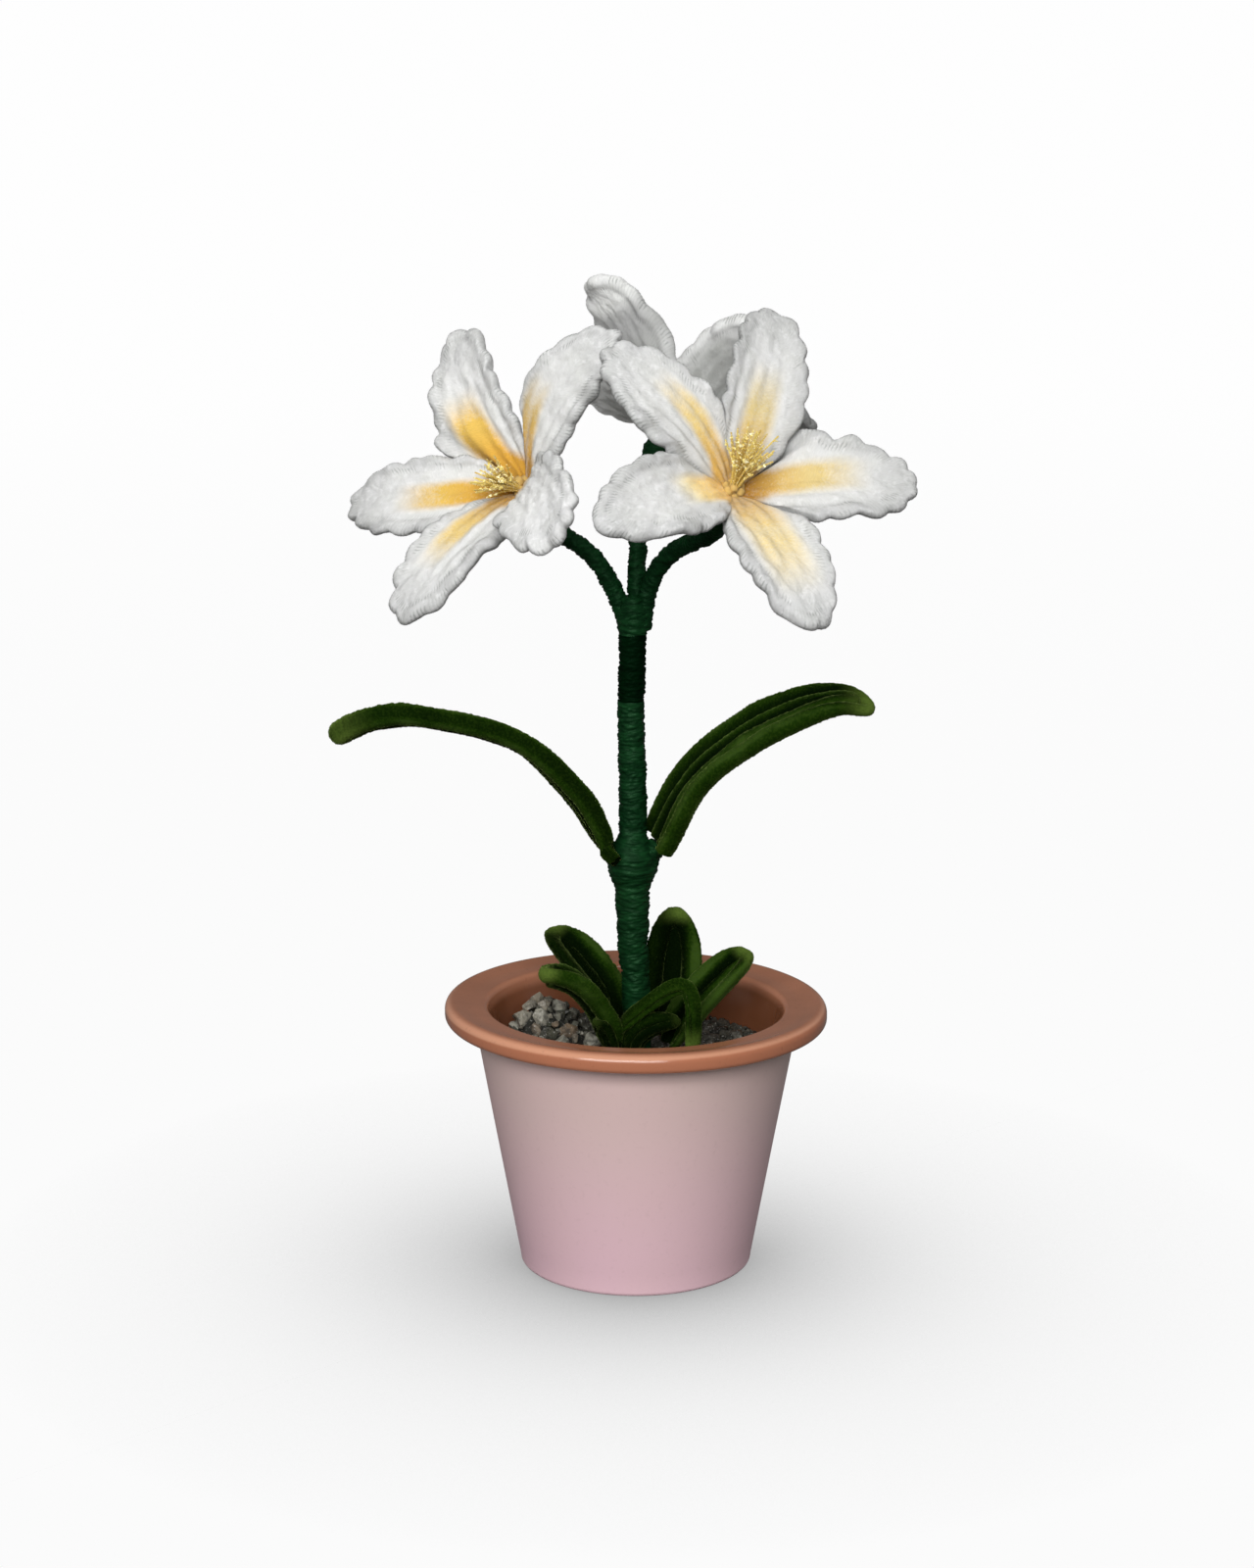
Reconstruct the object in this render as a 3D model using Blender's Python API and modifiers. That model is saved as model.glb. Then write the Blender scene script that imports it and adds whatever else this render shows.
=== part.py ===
"""A handmade lily of chenille stems, planted in a small two-tone ceramic pot.

The plant is a tape-wrapped wire stem with three branches. Each branch ends in
a cup that grips five petals and a spray of stamens. Two long leaves leave the
stem's thick middle, and seven short leaves stand round its foot, in gravel
over a block of foam. Units are metres, Z is up, and the origin is the centre
of the pot's underside. The plant faces -Y.
"""

import bpy
import bmesh
import math
import random
from mathutils import Matrix, Vector

MM = 0.001

# Clearance between pieces that touch on the real object
GAP = 0.3 * MM

# Pot
POT_HEIGHT = 78 * MM
POT_RIM_RADIUS = 55 * MM
POT_RIM_THICKNESS = 4.8 * MM
POT_MOUTH_RADIUS = 42.6 * MM
POT_SHOULDER_RADIUS = 47 * MM
POT_BASE_RADIUS = 33.4 * MM
POT_FLOOR = 5 * MM
POT_EDGE_ROUND = 1.2 * MM
POT_SEGMENTS = 36
HOLE_SIDES = 8

# Foam block and gravel
FOAM_TOP = 55 * MM
BED_TOP = 62.5 * MM
BED_SEGMENTS = 20
BED_RINGS = (0.36, 0.6, 0.8, 1.0)
BED_EDGE = 8 * MM
STONE_RADIUS = 4.0 * MM
STONE_SMALLEST = 0.75
STONE_SPACING = 8.2 * MM
STONE_DENT = 0.84
STONE_SWELL = 1.06
STONE_SUNK = 0.35
STONE_JITTER = 0.5 * MM
STONE_TURN_JITTER = 0.15
STONE_RINGS = 3
STONE_FREE_RADIUS = 15 * MM
MOUND_HEIGHT = 12 * MM
MOUND_CENTRE = Vector((-25 * MM, 13 * MM))
MOUND_SPREAD = 10 * MM
STONE_SEED = 7

# Stem
STEM_RADIUS = 3.8 * MM
TAPE_STEP = 3.9 * MM
TAPE_RIDGE = 0.16 * MM
STEM_PATH = [
    Vector((0.3, 0, 14)) * MM,
    Vector((0.3, 0, 72)) * MM,
    Vector((-0.8, 0, 95)) * MM,
    Vector((-1.1, 0, 118)) * MM,
    Vector((-1.3, 0, 141)) * MM,
    Vector((-1.7, 0, 160)) * MM,
    Vector((-1.4, 0, 180)) * MM,
    Vector((-1.0, 0, 195)) * MM,
]
# Height and radius where the wrapping changes: the lump that holds the leaf
# wires, then the fork
STEM_THICKNESS = [
    (94 * MM, STEM_RADIUS),
    (104 * MM, 4.4 * MM),
    (112 * MM, 5.0 * MM),
    (117 * MM, 7.2 * MM),
    (121 * MM, 6.8 * MM),
    (126 * MM, 4.1 * MM),
    (130 * MM, STEM_RADIUS),
    (184 * MM, 3.6 * MM),
    (190 * MM, 4.9 * MM),
    (195 * MM, 4.3 * MM),
]

# Branches and the cups at their ends
BRANCH_RADIUS = 2.6 * MM
CUP_RADIUS = 4.2 * MM
CUP_BORE = 3.3 * MM
CUP_DEPTH = 5.5 * MM
CUP_LENGTH = 9.5 * MM
CUP_TO_THROAT = 4 * MM
CUP_OVERLAP = 1.5 * MM

# Petals
PETAL_COUNT = 5
PETAL_WIDTH = 24 * MM
PETAL_ROWS = 10
PETAL_STRIPS = 6
PETAL_STALK_INNER = 1.3 * MM
PETAL_STALK_OUTER = 3.0 * MM
PETAL_STALK_WIDTH = 1.3 * MM
PETAL_FOOT = 1.2 * MM
PETAL_FOOT_SLOPE = 0.25
PETAL_ROW_CROWDING = 1.15
PETAL_GROWN = 0.12
PETAL_ROLLED = 0.4
PETAL_WIDEST = 0.53
PETAL_BLUNT_TIP = 1.04
PETAL_SIDE_GAP = 0.25 * MM
PETAL_LEAST_HALF = 0.6 * MM
PETAL_CAMBER = 0.2
PETAL_RUFFLE = 0.4 * MM
PETAL_SCALLOP = 0.075
STRIP_CREST = 1.45 * MM
STRIP_VALLEY = 0.75 * MM

# Stamens, turned from one to the next by the golden angle
GOLDEN_ANGLE = math.radians(137.5)
STAMEN_COUNT = 8
STAMEN_SPREAD = math.radians(22)
STAMEN_RADIUS = 0.45 * MM
STAMEN_THIN = 0.8
STAMEN_TIP = 1.3
STAMEN_FOOT = 1.2 * MM
STAMEN_CORE_RADIUS = 0.85 * MM
STAMEN_CORE_RISE = 2.5 * MM

# Leaves
LEAF_STALK_RADIUS = 1.1 * MM
STALK_DEPTH = 9 * MM
STALK_HOLE_RADIUS = 1.35 * LEAF_STALK_RADIUS + GAP
LEAF_NECK = 1.2 * MM
LEAF_EDGE = 1.5 * MM
LEAF_CREST = 2.6 * MM
LEAF_VALLEY = 1.8 * MM
LEAF_SCALLOP = 0.05
LEAF_STALK_FLATNESS = 0.8
LEAF_GROWN = 0.1
LEAF_FULL = 0.4
LEAF_NARROWS = 0.55
LEAF_BLUNT_TIP = 1.02
# Strips side by side, depth of the trough, relative width at the blade's foot
# and distance between its rows
LONG_LEAF_SHAPE = (4, 0.15, 0.4, 9 * MM)
SHORT_LEAF_SHAPE = (3, 0.35, 0.15, 6.5 * MM)
SHORT_LEAF_TILT = 0.45

# Each bloom: where its throat is, which way it faces, and the turn of its
# first petal about that axis. Each petal then has its opening from the axis in
# degrees, its length from the throat, its sideways swing at the tip and its
# sideways bow halfway in millimetres, and its bend and roll in degrees. Its
# stamens have a direction and a length.
BLOOMS = {
    "left": {
        "throat": Vector((-32.4, -4.0, 226.8)) * MM,
        "axis": Vector((-0.650, -0.550, 0.525)),
        "stamens": (Vector((-0.60, -0.70, 0.38)), 19 * MM),
        "turn": math.radians(54.9),
        "petals": [
            (75.8, 54.0, -0.9, 1.0, 22, 26),
            (72.7, 51.9, 3.4, 2.4, 20, 0),
            (75.5, 54.7, 3.7, 2.0, 24, 0),
            (71.2, 53.1, -1.5, 2.5, 20, -12),
            (74.6, 53.9, -3.8, 1.0, 26, 0),
        ],
        "branch": [
            Vector((-2.5, 0.0, 186)) * MM,
            Vector((-6.0, 0.4, 195.5)) * MM,
            Vector((-10.0, 1.0, 202.5)) * MM,
            Vector((-14.0, 2.2, 207.5)) * MM,
            Vector((-18.5, 3.6, 211.0)) * MM,
            Vector((-22.5, 4.0, 215.5)) * MM,
        ],
    },
    "right": {
        "throat": Vector((26.1, -36.0, 230.2)) * MM,
        "axis": Vector((0.288, -0.706, 0.647)),
        "stamens": (Vector((0.38, -0.60, 0.70)), 23 * MM),
        "turn": math.radians(-12.9),
        "petals": [
            (76.5, 49.5, 0.4, -2.0, 20, 0),
            (75.7, 53.4, 4.0, -2.0, 20, 0),
            (76.2, 50.0, 0.1, -1.5, 24, 0),
            (75.2, 52.6, -3.6, 0.8, 22, 0),
            (77.7, 53.4, 0.1, -2.0, 22, 0),
        ],
        "branch": [
            Vector((1.5, 0.0, 186)) * MM,
            Vector((3.7, -1.0, 196.5)) * MM,
            Vector((7.0, -4.0, 204.0)) * MM,
            Vector((12.0, -9.5, 209.0)) * MM,
            Vector((17.5, -16.5, 212.5)) * MM,
            Vector((21.5, -22.5, 216.5)) * MM,
        ],
    },
    "back": {
        "throat": Vector((9.7, 30.0, 238.2)) * MM,
        "axis": Vector((0.440, 0.621, 0.648)),
        "stamens": (Vector((0.440, 0.621, 0.648)), 21 * MM),
        "turn": math.radians(63.9),
        "petals": [
            (62.5, 47.5, -1.2, -1.0, 34, 0),
            (67.3, 50.0, 2.4, 0.0, 28, 0),
            (63.2, 51.5, -1.8, 0.0, 24, 0),
            (65.7, 51.0, 0.0, 0.0, 24, 0),
            (67.3, 50.0, -2.0, 0.0, 24, 0),
        ],
        "branch": [
            Vector((-0.8, 0.0, 186)) * MM,
            Vector((0.0, 1.0, 197)) * MM,
            Vector((0.4, 4.0, 208)) * MM,
            Vector((1.2, 9.0, 218)) * MM,
            Vector((3.2, 16.5, 227)) * MM,
        ],
    },
}

# Long leaves: the stalk's inner end, the midrib's points to the tip, the full
# width and the roll of the blade about its midrib
LONG_LEAVES = {
    "left": {
        "stalk": Vector((-3.6, 0.0, 117.0)) * MM,
        "path": [
            Vector((-8.6, -0.6, 123.5)) * MM,
            Vector((-17.6, -2.5, 139.6)) * MM,
            Vector((-34.0, -4.5, 154.0)) * MM,
            Vector((-60.0, -6.0, 160.9)) * MM,
            Vector((-74.0, -6.0, 160.4)) * MM,
            Vector((-84.5, -6.0, 157.4)) * MM,
        ],
        "width": 18 * MM,
        "roll": math.radians(10),
    },
    "right": {
        "stalk": Vector((3.0, -0.6, 117.5)) * MM,
        "path": [
            Vector((7.8, -1.4, 124.5)) * MM,
            Vector((17.0, -4.0, 140.5)) * MM,
            Vector((28.5, -7.0, 153.5)) * MM,
            Vector((43.0, -9.5, 163.0)) * MM,
            Vector((57.0, -11.5, 167.0)) * MM,
            Vector((65.5, -12.0, 163.5)) * MM,
        ],
        "width": 18 * MM,
        "roll": math.radians(15),
    },
}

# Short leaves: foot on the gravel, then the midrib's points to the tip, the
# full width, and the compass direction, in degrees from +X, of the trough
SHORT_LEAVES = {
    "back_left": {
        "path": [(-6.0, 5.5, 65), (-8.6, 7.5, 78), (-16.0, 11.0, 88), (-25.2, 15.0, 95)],
        "width": 12 * MM,
        "faces": -38,
    },
    "front_left": {
        "path": [(-6.8, -6.0, 65), (-11.4, -8.6, 77), (-18.0, -12.5, 85.5), (-27.0, -16.0, 90)],
        "width": 13.5 * MM,
        "faces": 22,
    },
    "back_right": {
        "path": [(7.4, 7.5, 65), (10.6, 11.0, 78), (11.6, 13.5, 90), (10.6, 14.5, 101)],
        "width": 16.5 * MM,
        "faces": -95,
    },
    "right": {
        "path": [(10.0, -2.0, 65), (15.5, -2.8, 75), (24.0, -1.0, 85), (33.0, 2.0, 92)],
        "width": 14 * MM,
        "faces": -140,
    },
    "front_right": {
        "path": [
            (0.0, -10.0, 65),
            (2.2, -13.2, 75.5),
            (9.5, -16.0, 82.5),
            (16.0, -19.0, 80),
            (17.0, -20.5, 69),
        ],
        "width": 10 * MM,
        "faces": 110,
    },
    "low_left": {
        "path": [(-6.5, -12.5, 65), (-9.0, -16.5, 70), (-12.5, -21.0, 73.5), (-16.0, -25.0, 73.0)],
        "width": 9 * MM,
        "faces": 50,
    },
    "low_right": {
        "path": [(7.2, -8.2, 65), (10.0, -10.6, 67), (13.5, -12.4, 68.5), (17.5, -14.0, 68.5)],
        "width": 8 * MM,
        "faces": 100,
    },
}


def clear_scene():
    for thing in list(bpy.data.objects):
        bpy.data.objects.remove(thing, do_unlink=True)


def new_collection(name):
    group = bpy.data.collections.new(name)
    bpy.context.scene.collection.children.link(group)
    return group


def new_material(name, colour, roughness, metallic=0.0):
    """Principled material with a plain colour."""
    material = bpy.data.materials.new(name)
    material.use_nodes = True
    shader = material.node_tree.nodes["Principled BSDF"]
    shader.inputs["Base Color"].default_value = (*colour, 1.0)
    shader.inputs["Roughness"].default_value = roughness
    shader.inputs["Metallic"].default_value = metallic
    material.diffuse_color = (*colour, 1.0)
    return material


def add_mesh(name, mesh, group, material=None):
    item = bpy.data.objects.new(name, mesh)
    group.objects.link(item)
    if material is not None:
        item.data.materials.append(material)
    return item


def finish(item, angle=50):
    """Shade smooth, with hard edges kept sharp."""
    item.data.shade_smooth()
    item.data.set_sharp_from_angle(angle=math.radians(angle))
    return item


def make_real(item):
    """Replace an object's mesh or curve with its evaluated, welded mesh."""
    depsgraph = bpy.context.evaluated_depsgraph_get()
    mesh = bpy.data.meshes.new_from_object(item.evaluated_get(depsgraph))
    work = bmesh.new()
    work.from_mesh(mesh)
    bmesh.ops.remove_doubles(work, verts=work.verts, dist=0.01 * MM)
    work.to_mesh(mesh)
    work.free()
    group = item.users_collection[0]
    solid = bpy.data.objects.new(item.name, mesh)
    solid.matrix_world = item.matrix_world.copy()
    group.objects.link(solid)
    bpy.data.objects.remove(item)
    return solid


def turned(name, profile, segments, group, material=None):
    """Turn an outline of (radius, height) about Z. It runs top to bottom outside."""
    mesh = bpy.data.meshes.new(name)
    work = bmesh.new()
    points = [work.verts.new((radius, 0.0, height)) for radius, height in profile]
    for start, end in zip(points, points[1:]):
        work.edges.new((start, end))
    work.to_mesh(mesh)
    work.free()
    item = add_mesh(name, mesh, group, material)
    screw = item.modifiers.new("turn", "SCREW")
    screw.steps = segments
    screw.render_steps = segments
    screw.use_merge_vertices = True
    screw.merge_threshold = 0.00001
    return item


def rounded_corner(centre, radius, start, end, steps=2):
    """Points of an arc in the (radius, height) plane, angles in degrees."""
    points = []
    for step in range(steps + 1):
        angle = math.radians(start + (end - start) * step / steps)
        points.append((centre[0] + radius * math.cos(angle), centre[1] + radius * math.sin(angle)))
    return points


def smooth_path(points, spacing):
    """Catmull-Rom curve through the points, sampled at about even spacing."""
    ends = [points[0] * 2 - points[1]] + list(points) + [points[-1] * 2 - points[-2]]
    fine = []
    for index in range(1, len(ends) - 2):
        before, start, end, after = ends[index - 1:index + 3]
        for step in range(24):
            t = step / 24
            fine.append(0.5 * (start * 2 + (end - before) * t
                               + (before * 2 - start * 5 + end * 4 - after) * t ** 2
                               + (start * 3 - before - end * 3 + after) * t ** 3))
    fine.append(points[-1].copy())
    lengths = [0.0]
    for start, end in zip(fine, fine[1:]):
        lengths.append(lengths[-1] + (end - start).length)
    count = max(2, round(lengths[-1] / spacing))
    result = []
    for step in range(count + 1):
        wanted = lengths[-1] * step / count
        index = 1
        while index < len(lengths) - 1 and lengths[index] < wanted:
            index += 1
        span = lengths[index] - lengths[index - 1]
        share = (wanted - lengths[index - 1]) / span if span else 0.0
        result.append(fine[index - 1].lerp(fine[index], share))
    return result


def tube(name, path, radii, group, resolution=2):
    """Solid tube along a path, with a radius at each point."""
    curve = bpy.data.curves.new(name, "CURVE")
    curve.dimensions = "3D"
    curve.bevel_depth = 1.0
    curve.bevel_resolution = resolution
    curve.use_fill_caps = True
    spline = curve.splines.new("POLY")
    spline.points.add(len(path) - 1)
    for point, place, radius in zip(spline.points, path, radii):
        point.co = (*place, 1.0)
        point.radius = radius
    item = bpy.data.objects.new(name, curve)
    group.objects.link(item)
    return make_real(item)


def join_solids(name, items, group, material):
    """Fuse solids into one, by a Boolean union on a collection."""
    base = items[0]
    others = bpy.data.collections.new(name + "_pieces")
    bpy.context.scene.collection.children.link(others)
    for item in items[1:]:
        for owner in list(item.users_collection):
            owner.objects.unlink(item)
        others.objects.link(item)
    union = base.modifiers.new("join", "BOOLEAN")
    union.operation = "UNION"
    union.operand_type = "COLLECTION"
    union.collection = others
    union.solver = "EXACT"
    solid = make_real(base)
    solid.name = name
    for item in list(others.objects):
        bpy.data.objects.remove(item)
    bpy.data.collections.remove(others)
    solid.data.materials.clear()
    solid.data.materials.append(material)
    for owner in list(solid.users_collection):
        owner.objects.unlink(solid)
    group.objects.link(solid)
    return solid


def cut(item, cutters):
    """Cut each cutter out of the item, and keep the cutters as wires."""
    for cutter in cutters:
        cutter.hide_render = True
        cutter.display_type = "WIRE"
        hole = item.modifiers.new("cut", "BOOLEAN")
        hole.operation = "DIFFERENCE"
        hole.object = cutter
        hole.solver = "EXACT"


def blade(name, rows, group, material):
    """Closed blade from rows of (upper points, lower points), split alike on both faces."""
    work = bmesh.new()
    upper = [[work.verts.new(point) for point in top] for top, _ in rows]
    lower = [[work.verts.new(point) for point in bottom] for _, bottom in rows]
    last_row = len(rows) - 1
    last = len(upper[0]) - 1

    def quad(a, b, c, d):
        work.faces.new((a, b, c))
        work.faces.new((a, c, d))

    for row in range(last_row):
        for column in range(last):
            quad(upper[row][column], upper[row][column + 1],
                 upper[row + 1][column + 1], upper[row + 1][column])
            work.faces.new((lower[row][column], lower[row + 1][column + 1], lower[row][column + 1]))
            work.faces.new((lower[row][column], lower[row + 1][column], lower[row + 1][column + 1]))
        quad(upper[row][0], upper[row + 1][0], lower[row + 1][0], lower[row][0])
        quad(lower[row][last], lower[row + 1][last], upper[row + 1][last], upper[row][last])
    for column in range(last):
        quad(lower[0][column], lower[0][column + 1], upper[0][column + 1], upper[0][column])
        quad(upper[last_row][column], upper[last_row][column + 1],
             lower[last_row][column + 1], lower[last_row][column])
    bmesh.ops.recalc_face_normals(work, faces=work.faces)
    mesh = bpy.data.meshes.new(name)
    work.to_mesh(mesh)
    work.free()
    return add_mesh(name, mesh, group, material)


def interpolate(table, where):
    """Read a value from rows of (place, value), with straight runs between."""
    if where <= table[0][0]:
        return table[0][1]
    for (left, low), (right, high) in zip(table, table[1:]):
        if where <= right:
            return low + (high - low) * (where - left) / (right - left)
    return table[-1][1]


def build_pot(group, material):
    """Two-tone pot: a straight taper under a broad flat rim, closed below."""
    under = POT_HEIGHT - POT_RIM_THICKNESS
    wall = POT_SHOULDER_RADIUS - POT_MOUTH_RADIUS
    floor_radius = POT_BASE_RADIUS - wall
    edge = POT_EDGE_ROUND
    profile = [(0.0, POT_FLOOR), (floor_radius, POT_FLOOR)]
    profile += rounded_corner((POT_MOUTH_RADIUS + edge, POT_HEIGHT - 2 * edge), edge, 180, 90)
    profile.append((POT_RIM_RADIUS - 5.5 * edge, POT_HEIGHT - edge))
    profile += rounded_corner((POT_RIM_RADIUS - 2 * edge, POT_HEIGHT - 2 * edge), 2 * edge, 75, 0, 3)
    profile += rounded_corner((POT_RIM_RADIUS - edge, under + edge), edge, 0, -90)
    profile += [(POT_SHOULDER_RADIUS, under), (POT_BASE_RADIUS + 0.2 * edge, edge)]
    profile += [(POT_BASE_RADIUS - 0.6 * edge, 0.0), (0.0, 0.0)]
    return finish(turned("pot", profile, POT_SEGMENTS, group, material))


def pot_inside(height):
    """Radius of the pot's inner wall at a height."""
    wall = POT_SHOULDER_RADIUS - POT_MOUTH_RADIUS
    table = [(POT_FLOOR, POT_BASE_RADIUS - wall), (POT_HEIGHT - 2 * POT_EDGE_ROUND, POT_MOUTH_RADIUS)]
    return interpolate(table, height)


def hole_cutters(feet, low, high, group):
    """Upright round cutters for the leaf stalks and the stem."""
    cutters = []
    for number, (place, radius) in enumerate(feet):
        bpy.ops.mesh.primitive_cylinder_add(vertices=HOLE_SIDES, radius=radius, depth=high - low,
                                            location=(place.x, place.y, (low + high) / 2))
        cutter = bpy.context.active_object
        cutter.name = f"hole_{number}"
        for owner in list(cutter.users_collection):
            owner.objects.unlink(cutter)
        group.objects.link(cutter)
        cutters.append(cutter)
    return cutters


def feet_of_plant():
    """Each thing that stands in the fill: its place and its hole's radius."""
    feet = [(STEM_PATH[0], STEM_RADIUS + TAPE_RIDGE + GAP)]
    for leaf in SHORT_LEAVES.values():
        feet.append((Vector(leaf["path"][0]) * MM, STALK_HOLE_RADIUS))
    return feet


def build_foam(group, cutter_group, material):
    """Block of foam that the stem and the short leaves are pushed into."""
    floor = POT_FLOOR + GAP
    profile = [
        (0.0, FOAM_TOP),
        (pot_inside(FOAM_TOP) - GAP, FOAM_TOP),
        (pot_inside(floor) - GAP, floor),
        (0.0, floor),
    ]
    foam = turned("foam_block", profile, BED_SEGMENTS, group, material)
    feet = feet_of_plant()
    cutters = hole_cutters(feet[:1], STEM_PATH[0].z - GAP, FOAM_TOP + GAP, cutter_group)
    cutters += hole_cutters(feet[1:], FOAM_TOP - STALK_DEPTH, FOAM_TOP + GAP, cutter_group)
    cut(foam, cutters)
    return finish(foam)


def bed_height(x, y):
    """Height of the gravel bed, heaped at the plant's left and level at the wall."""
    away = (Vector((x, y)) - MOUND_CENTRE).length / MOUND_SPREAD
    to_wall = (pot_inside(BED_TOP) - math.hypot(x, y)) / BED_EDGE
    return BED_TOP + MOUND_HEIGHT * math.exp(-away * away / 2) * max(0.0, min(1.0, to_wall))


def build_bed(group):
    """Gravel bed below the loose stones, a loft of rings from its centre to its foot."""
    top = pot_inside(BED_TOP) - GAP
    low = FOAM_TOP + GAP
    work = bmesh.new()
    rings = []
    for share in BED_RINGS:
        ring = []
        for step in range(BED_SEGMENTS):
            angle = math.tau * step / BED_SEGMENTS
            x = top * share * math.cos(angle)
            y = top * share * math.sin(angle)
            ring.append(work.verts.new((x, y, bed_height(x, y))))
        rings.append(ring)
    foot = pot_inside(low) - GAP
    ring = []
    for step in range(BED_SEGMENTS):
        angle = math.tau * step / BED_SEGMENTS
        ring.append(work.verts.new((foot * math.cos(angle), foot * math.sin(angle), low)))
    rings.append(ring)
    centre = work.verts.new((0, 0, BED_TOP))
    for step in range(BED_SEGMENTS):
        after = (step + 1) % BED_SEGMENTS
        work.faces.new((centre, rings[0][step], rings[0][after]))
        for inner, outer in zip(rings, rings[1:]):
            work.faces.new((inner[step], outer[step], outer[after]))
            work.faces.new((inner[step], outer[after], inner[after]))
    work.faces.new(list(reversed(rings[-1])))
    bmesh.ops.recalc_face_normals(work, faces=work.faces)
    mesh = bpy.data.meshes.new("bed")
    work.to_mesh(mesh)
    work.free()
    return add_mesh("bed", mesh, group)


def add_stone(x, y, size, draw):
    """One rough stone, sunk by more than half into the bed."""
    place = (x, y, bed_height(x, y) - STONE_SUNK * size)
    bpy.ops.mesh.primitive_ico_sphere_add(subdivisions=1, radius=size, location=place)
    stone = bpy.context.active_object
    turn = Matrix.Rotation(draw.uniform(0, math.tau), 3, Vector((draw.random(), draw.random(), 1)))
    for vertex in stone.data.vertices:
        vertex.co = turn @ vertex.co * draw.uniform(STONE_DENT, STONE_SWELL)
    return stone


def build_gravel(group, cutter_group, material):
    """Bed of gravel: a low heap with loose stones sunk into its top."""
    draw = random.Random(STONE_SEED)
    feet = feet_of_plant()
    pieces = [build_bed(cutter_group)]
    last_ring = pot_inside(BED_TOP) - GAP - STONE_RADIUS * STONE_SWELL - 2 * STONE_JITTER
    for ring in range(STONE_RINGS):
        away = STONE_FREE_RADIUS + (last_ring - STONE_FREE_RADIUS) * ring / (STONE_RINGS - 1)
        count = round(math.tau * away / STONE_SPACING)
        for step in range(count):
            shift = 0.5 * (ring % 2) + draw.uniform(-1, 1) * STONE_TURN_JITTER
            angle = math.tau * (step + shift) / count
            x = away * math.cos(angle) + draw.uniform(-1, 1) * STONE_JITTER
            y = away * math.sin(angle) + draw.uniform(-1, 1) * STONE_JITTER
            size = STONE_RADIUS * draw.uniform(STONE_SMALLEST, 1.0)
            if min((Vector((x, y)) - foot.xy).length - radius for foot, radius in feet) > size:
                pieces.append(add_stone(x, y, size, draw))
    gravel = join_solids("gravel", pieces, group, material)
    cut(gravel, hole_cutters(feet, FOAM_TOP, BED_TOP + MOUND_HEIGHT, cutter_group))
    return finish(gravel, 15)


def bloom_frame(bloom):
    """Throat, axis and the two directions across a bloom."""
    axis = bloom["axis"].normalized()
    up = (Vector((0, 0, 1)) - axis * axis.z).normalized()
    side = up.cross(axis)
    return bloom["throat"], axis, side, up


def tape_radii(path, radius_at):
    """Radii along a wrapped wire, with each other turn of the tape standing out."""
    radii = []
    for number, point in enumerate(path):
        ridge = TAPE_RIDGE if number % 2 else -TAPE_RIDGE
        radii.append(radius_at(point) + ridge)
    return radii


def build_cup(name, bloom, group):
    """Taped cup at a branch's end that grips the petals' stalks."""
    throat, axis, _, _ = bloom_frame(bloom)
    profile = [
        (0.0, -CUP_DEPTH),
        (CUP_BORE, -CUP_DEPTH),
        (CUP_BORE, 0.0),
        (CUP_RADIUS, 0.0),
        (CUP_RADIUS, -0.5 * CUP_LENGTH),
        (BRANCH_RADIUS, -CUP_LENGTH),
        (0.0, -CUP_LENGTH),
    ]
    cup = turned(name, profile, 12, group)
    place = throat - axis * CUP_TO_THROAT
    turn = axis.to_track_quat("Z", "Y").to_matrix().to_4x4()
    cup.matrix_world = Matrix.Translation(place) @ turn
    bpy.context.view_layer.update()
    return make_real(cup)


def build_stem(group, cutter_group, material):
    """Wrapped stem with its lump, its fork, three branches and their cups."""
    path = smooth_path(STEM_PATH, TAPE_STEP)
    radii = tape_radii(path, lambda point: interpolate(STEM_THICKNESS, point.z))
    pieces = [tube("stem_core", path, radii, cutter_group)]
    for name, bloom in BLOOMS.items():
        throat, axis, _, _ = bloom_frame(bloom)
        end = throat - axis * (CUP_TO_THROAT + CUP_LENGTH - CUP_OVERLAP)
        route = smooth_path(bloom["branch"] + [end], TAPE_STEP)
        pieces.append(tube("branch_" + name, route, tape_radii(route, lambda point: BRANCH_RADIUS),
                           cutter_group))
        pieces.append(build_cup("cup_" + name, bloom, cutter_group))
    stem = join_solids("stem", pieces, group, material)
    cutters = []
    for name, leaf in LONG_LEAVES.items():
        inner = leaf["stalk"]
        along = (leaf["path"][0] - inner).normalized()
        route = [inner - along * GAP, leaf["path"][0]]
        cutters.append(tube("socket_" + name, route, [STALK_HOLE_RADIUS] * 2, cutter_group))
    cut(stem, cutters)
    return finish(stem)


def petal_outline(share):
    """Half width of a petal at a share of its length, as a part of the full half width."""
    if share < PETAL_WIDEST:
        return math.sin(math.pi / 2 * share / PETAL_WIDEST) ** 0.75
    fall = (share - PETAL_WIDEST) / (PETAL_BLUNT_TIP - PETAL_WIDEST)
    return math.sqrt(max(0.0, 1 - fall ** 2.5))


def strip_relief(column, columns, crest, valley, edge):
    """Half thickness across a row of chenille strips lying side by side."""
    if column in (0, columns - 1):
        return edge
    return crest if column % 2 else valley


def arc_point(start, end, bend, share):
    """Point and direction on an arc between two points of the (radial, axial) plane."""
    chord = end - start
    length = chord.length
    forward = chord / length
    across = Vector((-forward.y, forward.x))
    half = math.sin(bend)
    angle = bend * (1 - 2 * share)
    along = 0.5 * length * (1 - math.sin(angle) / half)
    rise = 0.5 * length * (math.cos(angle) - math.cos(bend)) / half
    point = start + forward * along + across * rise
    direction = forward * math.cos(angle) + across * math.sin(angle)
    return point, direction


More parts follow.
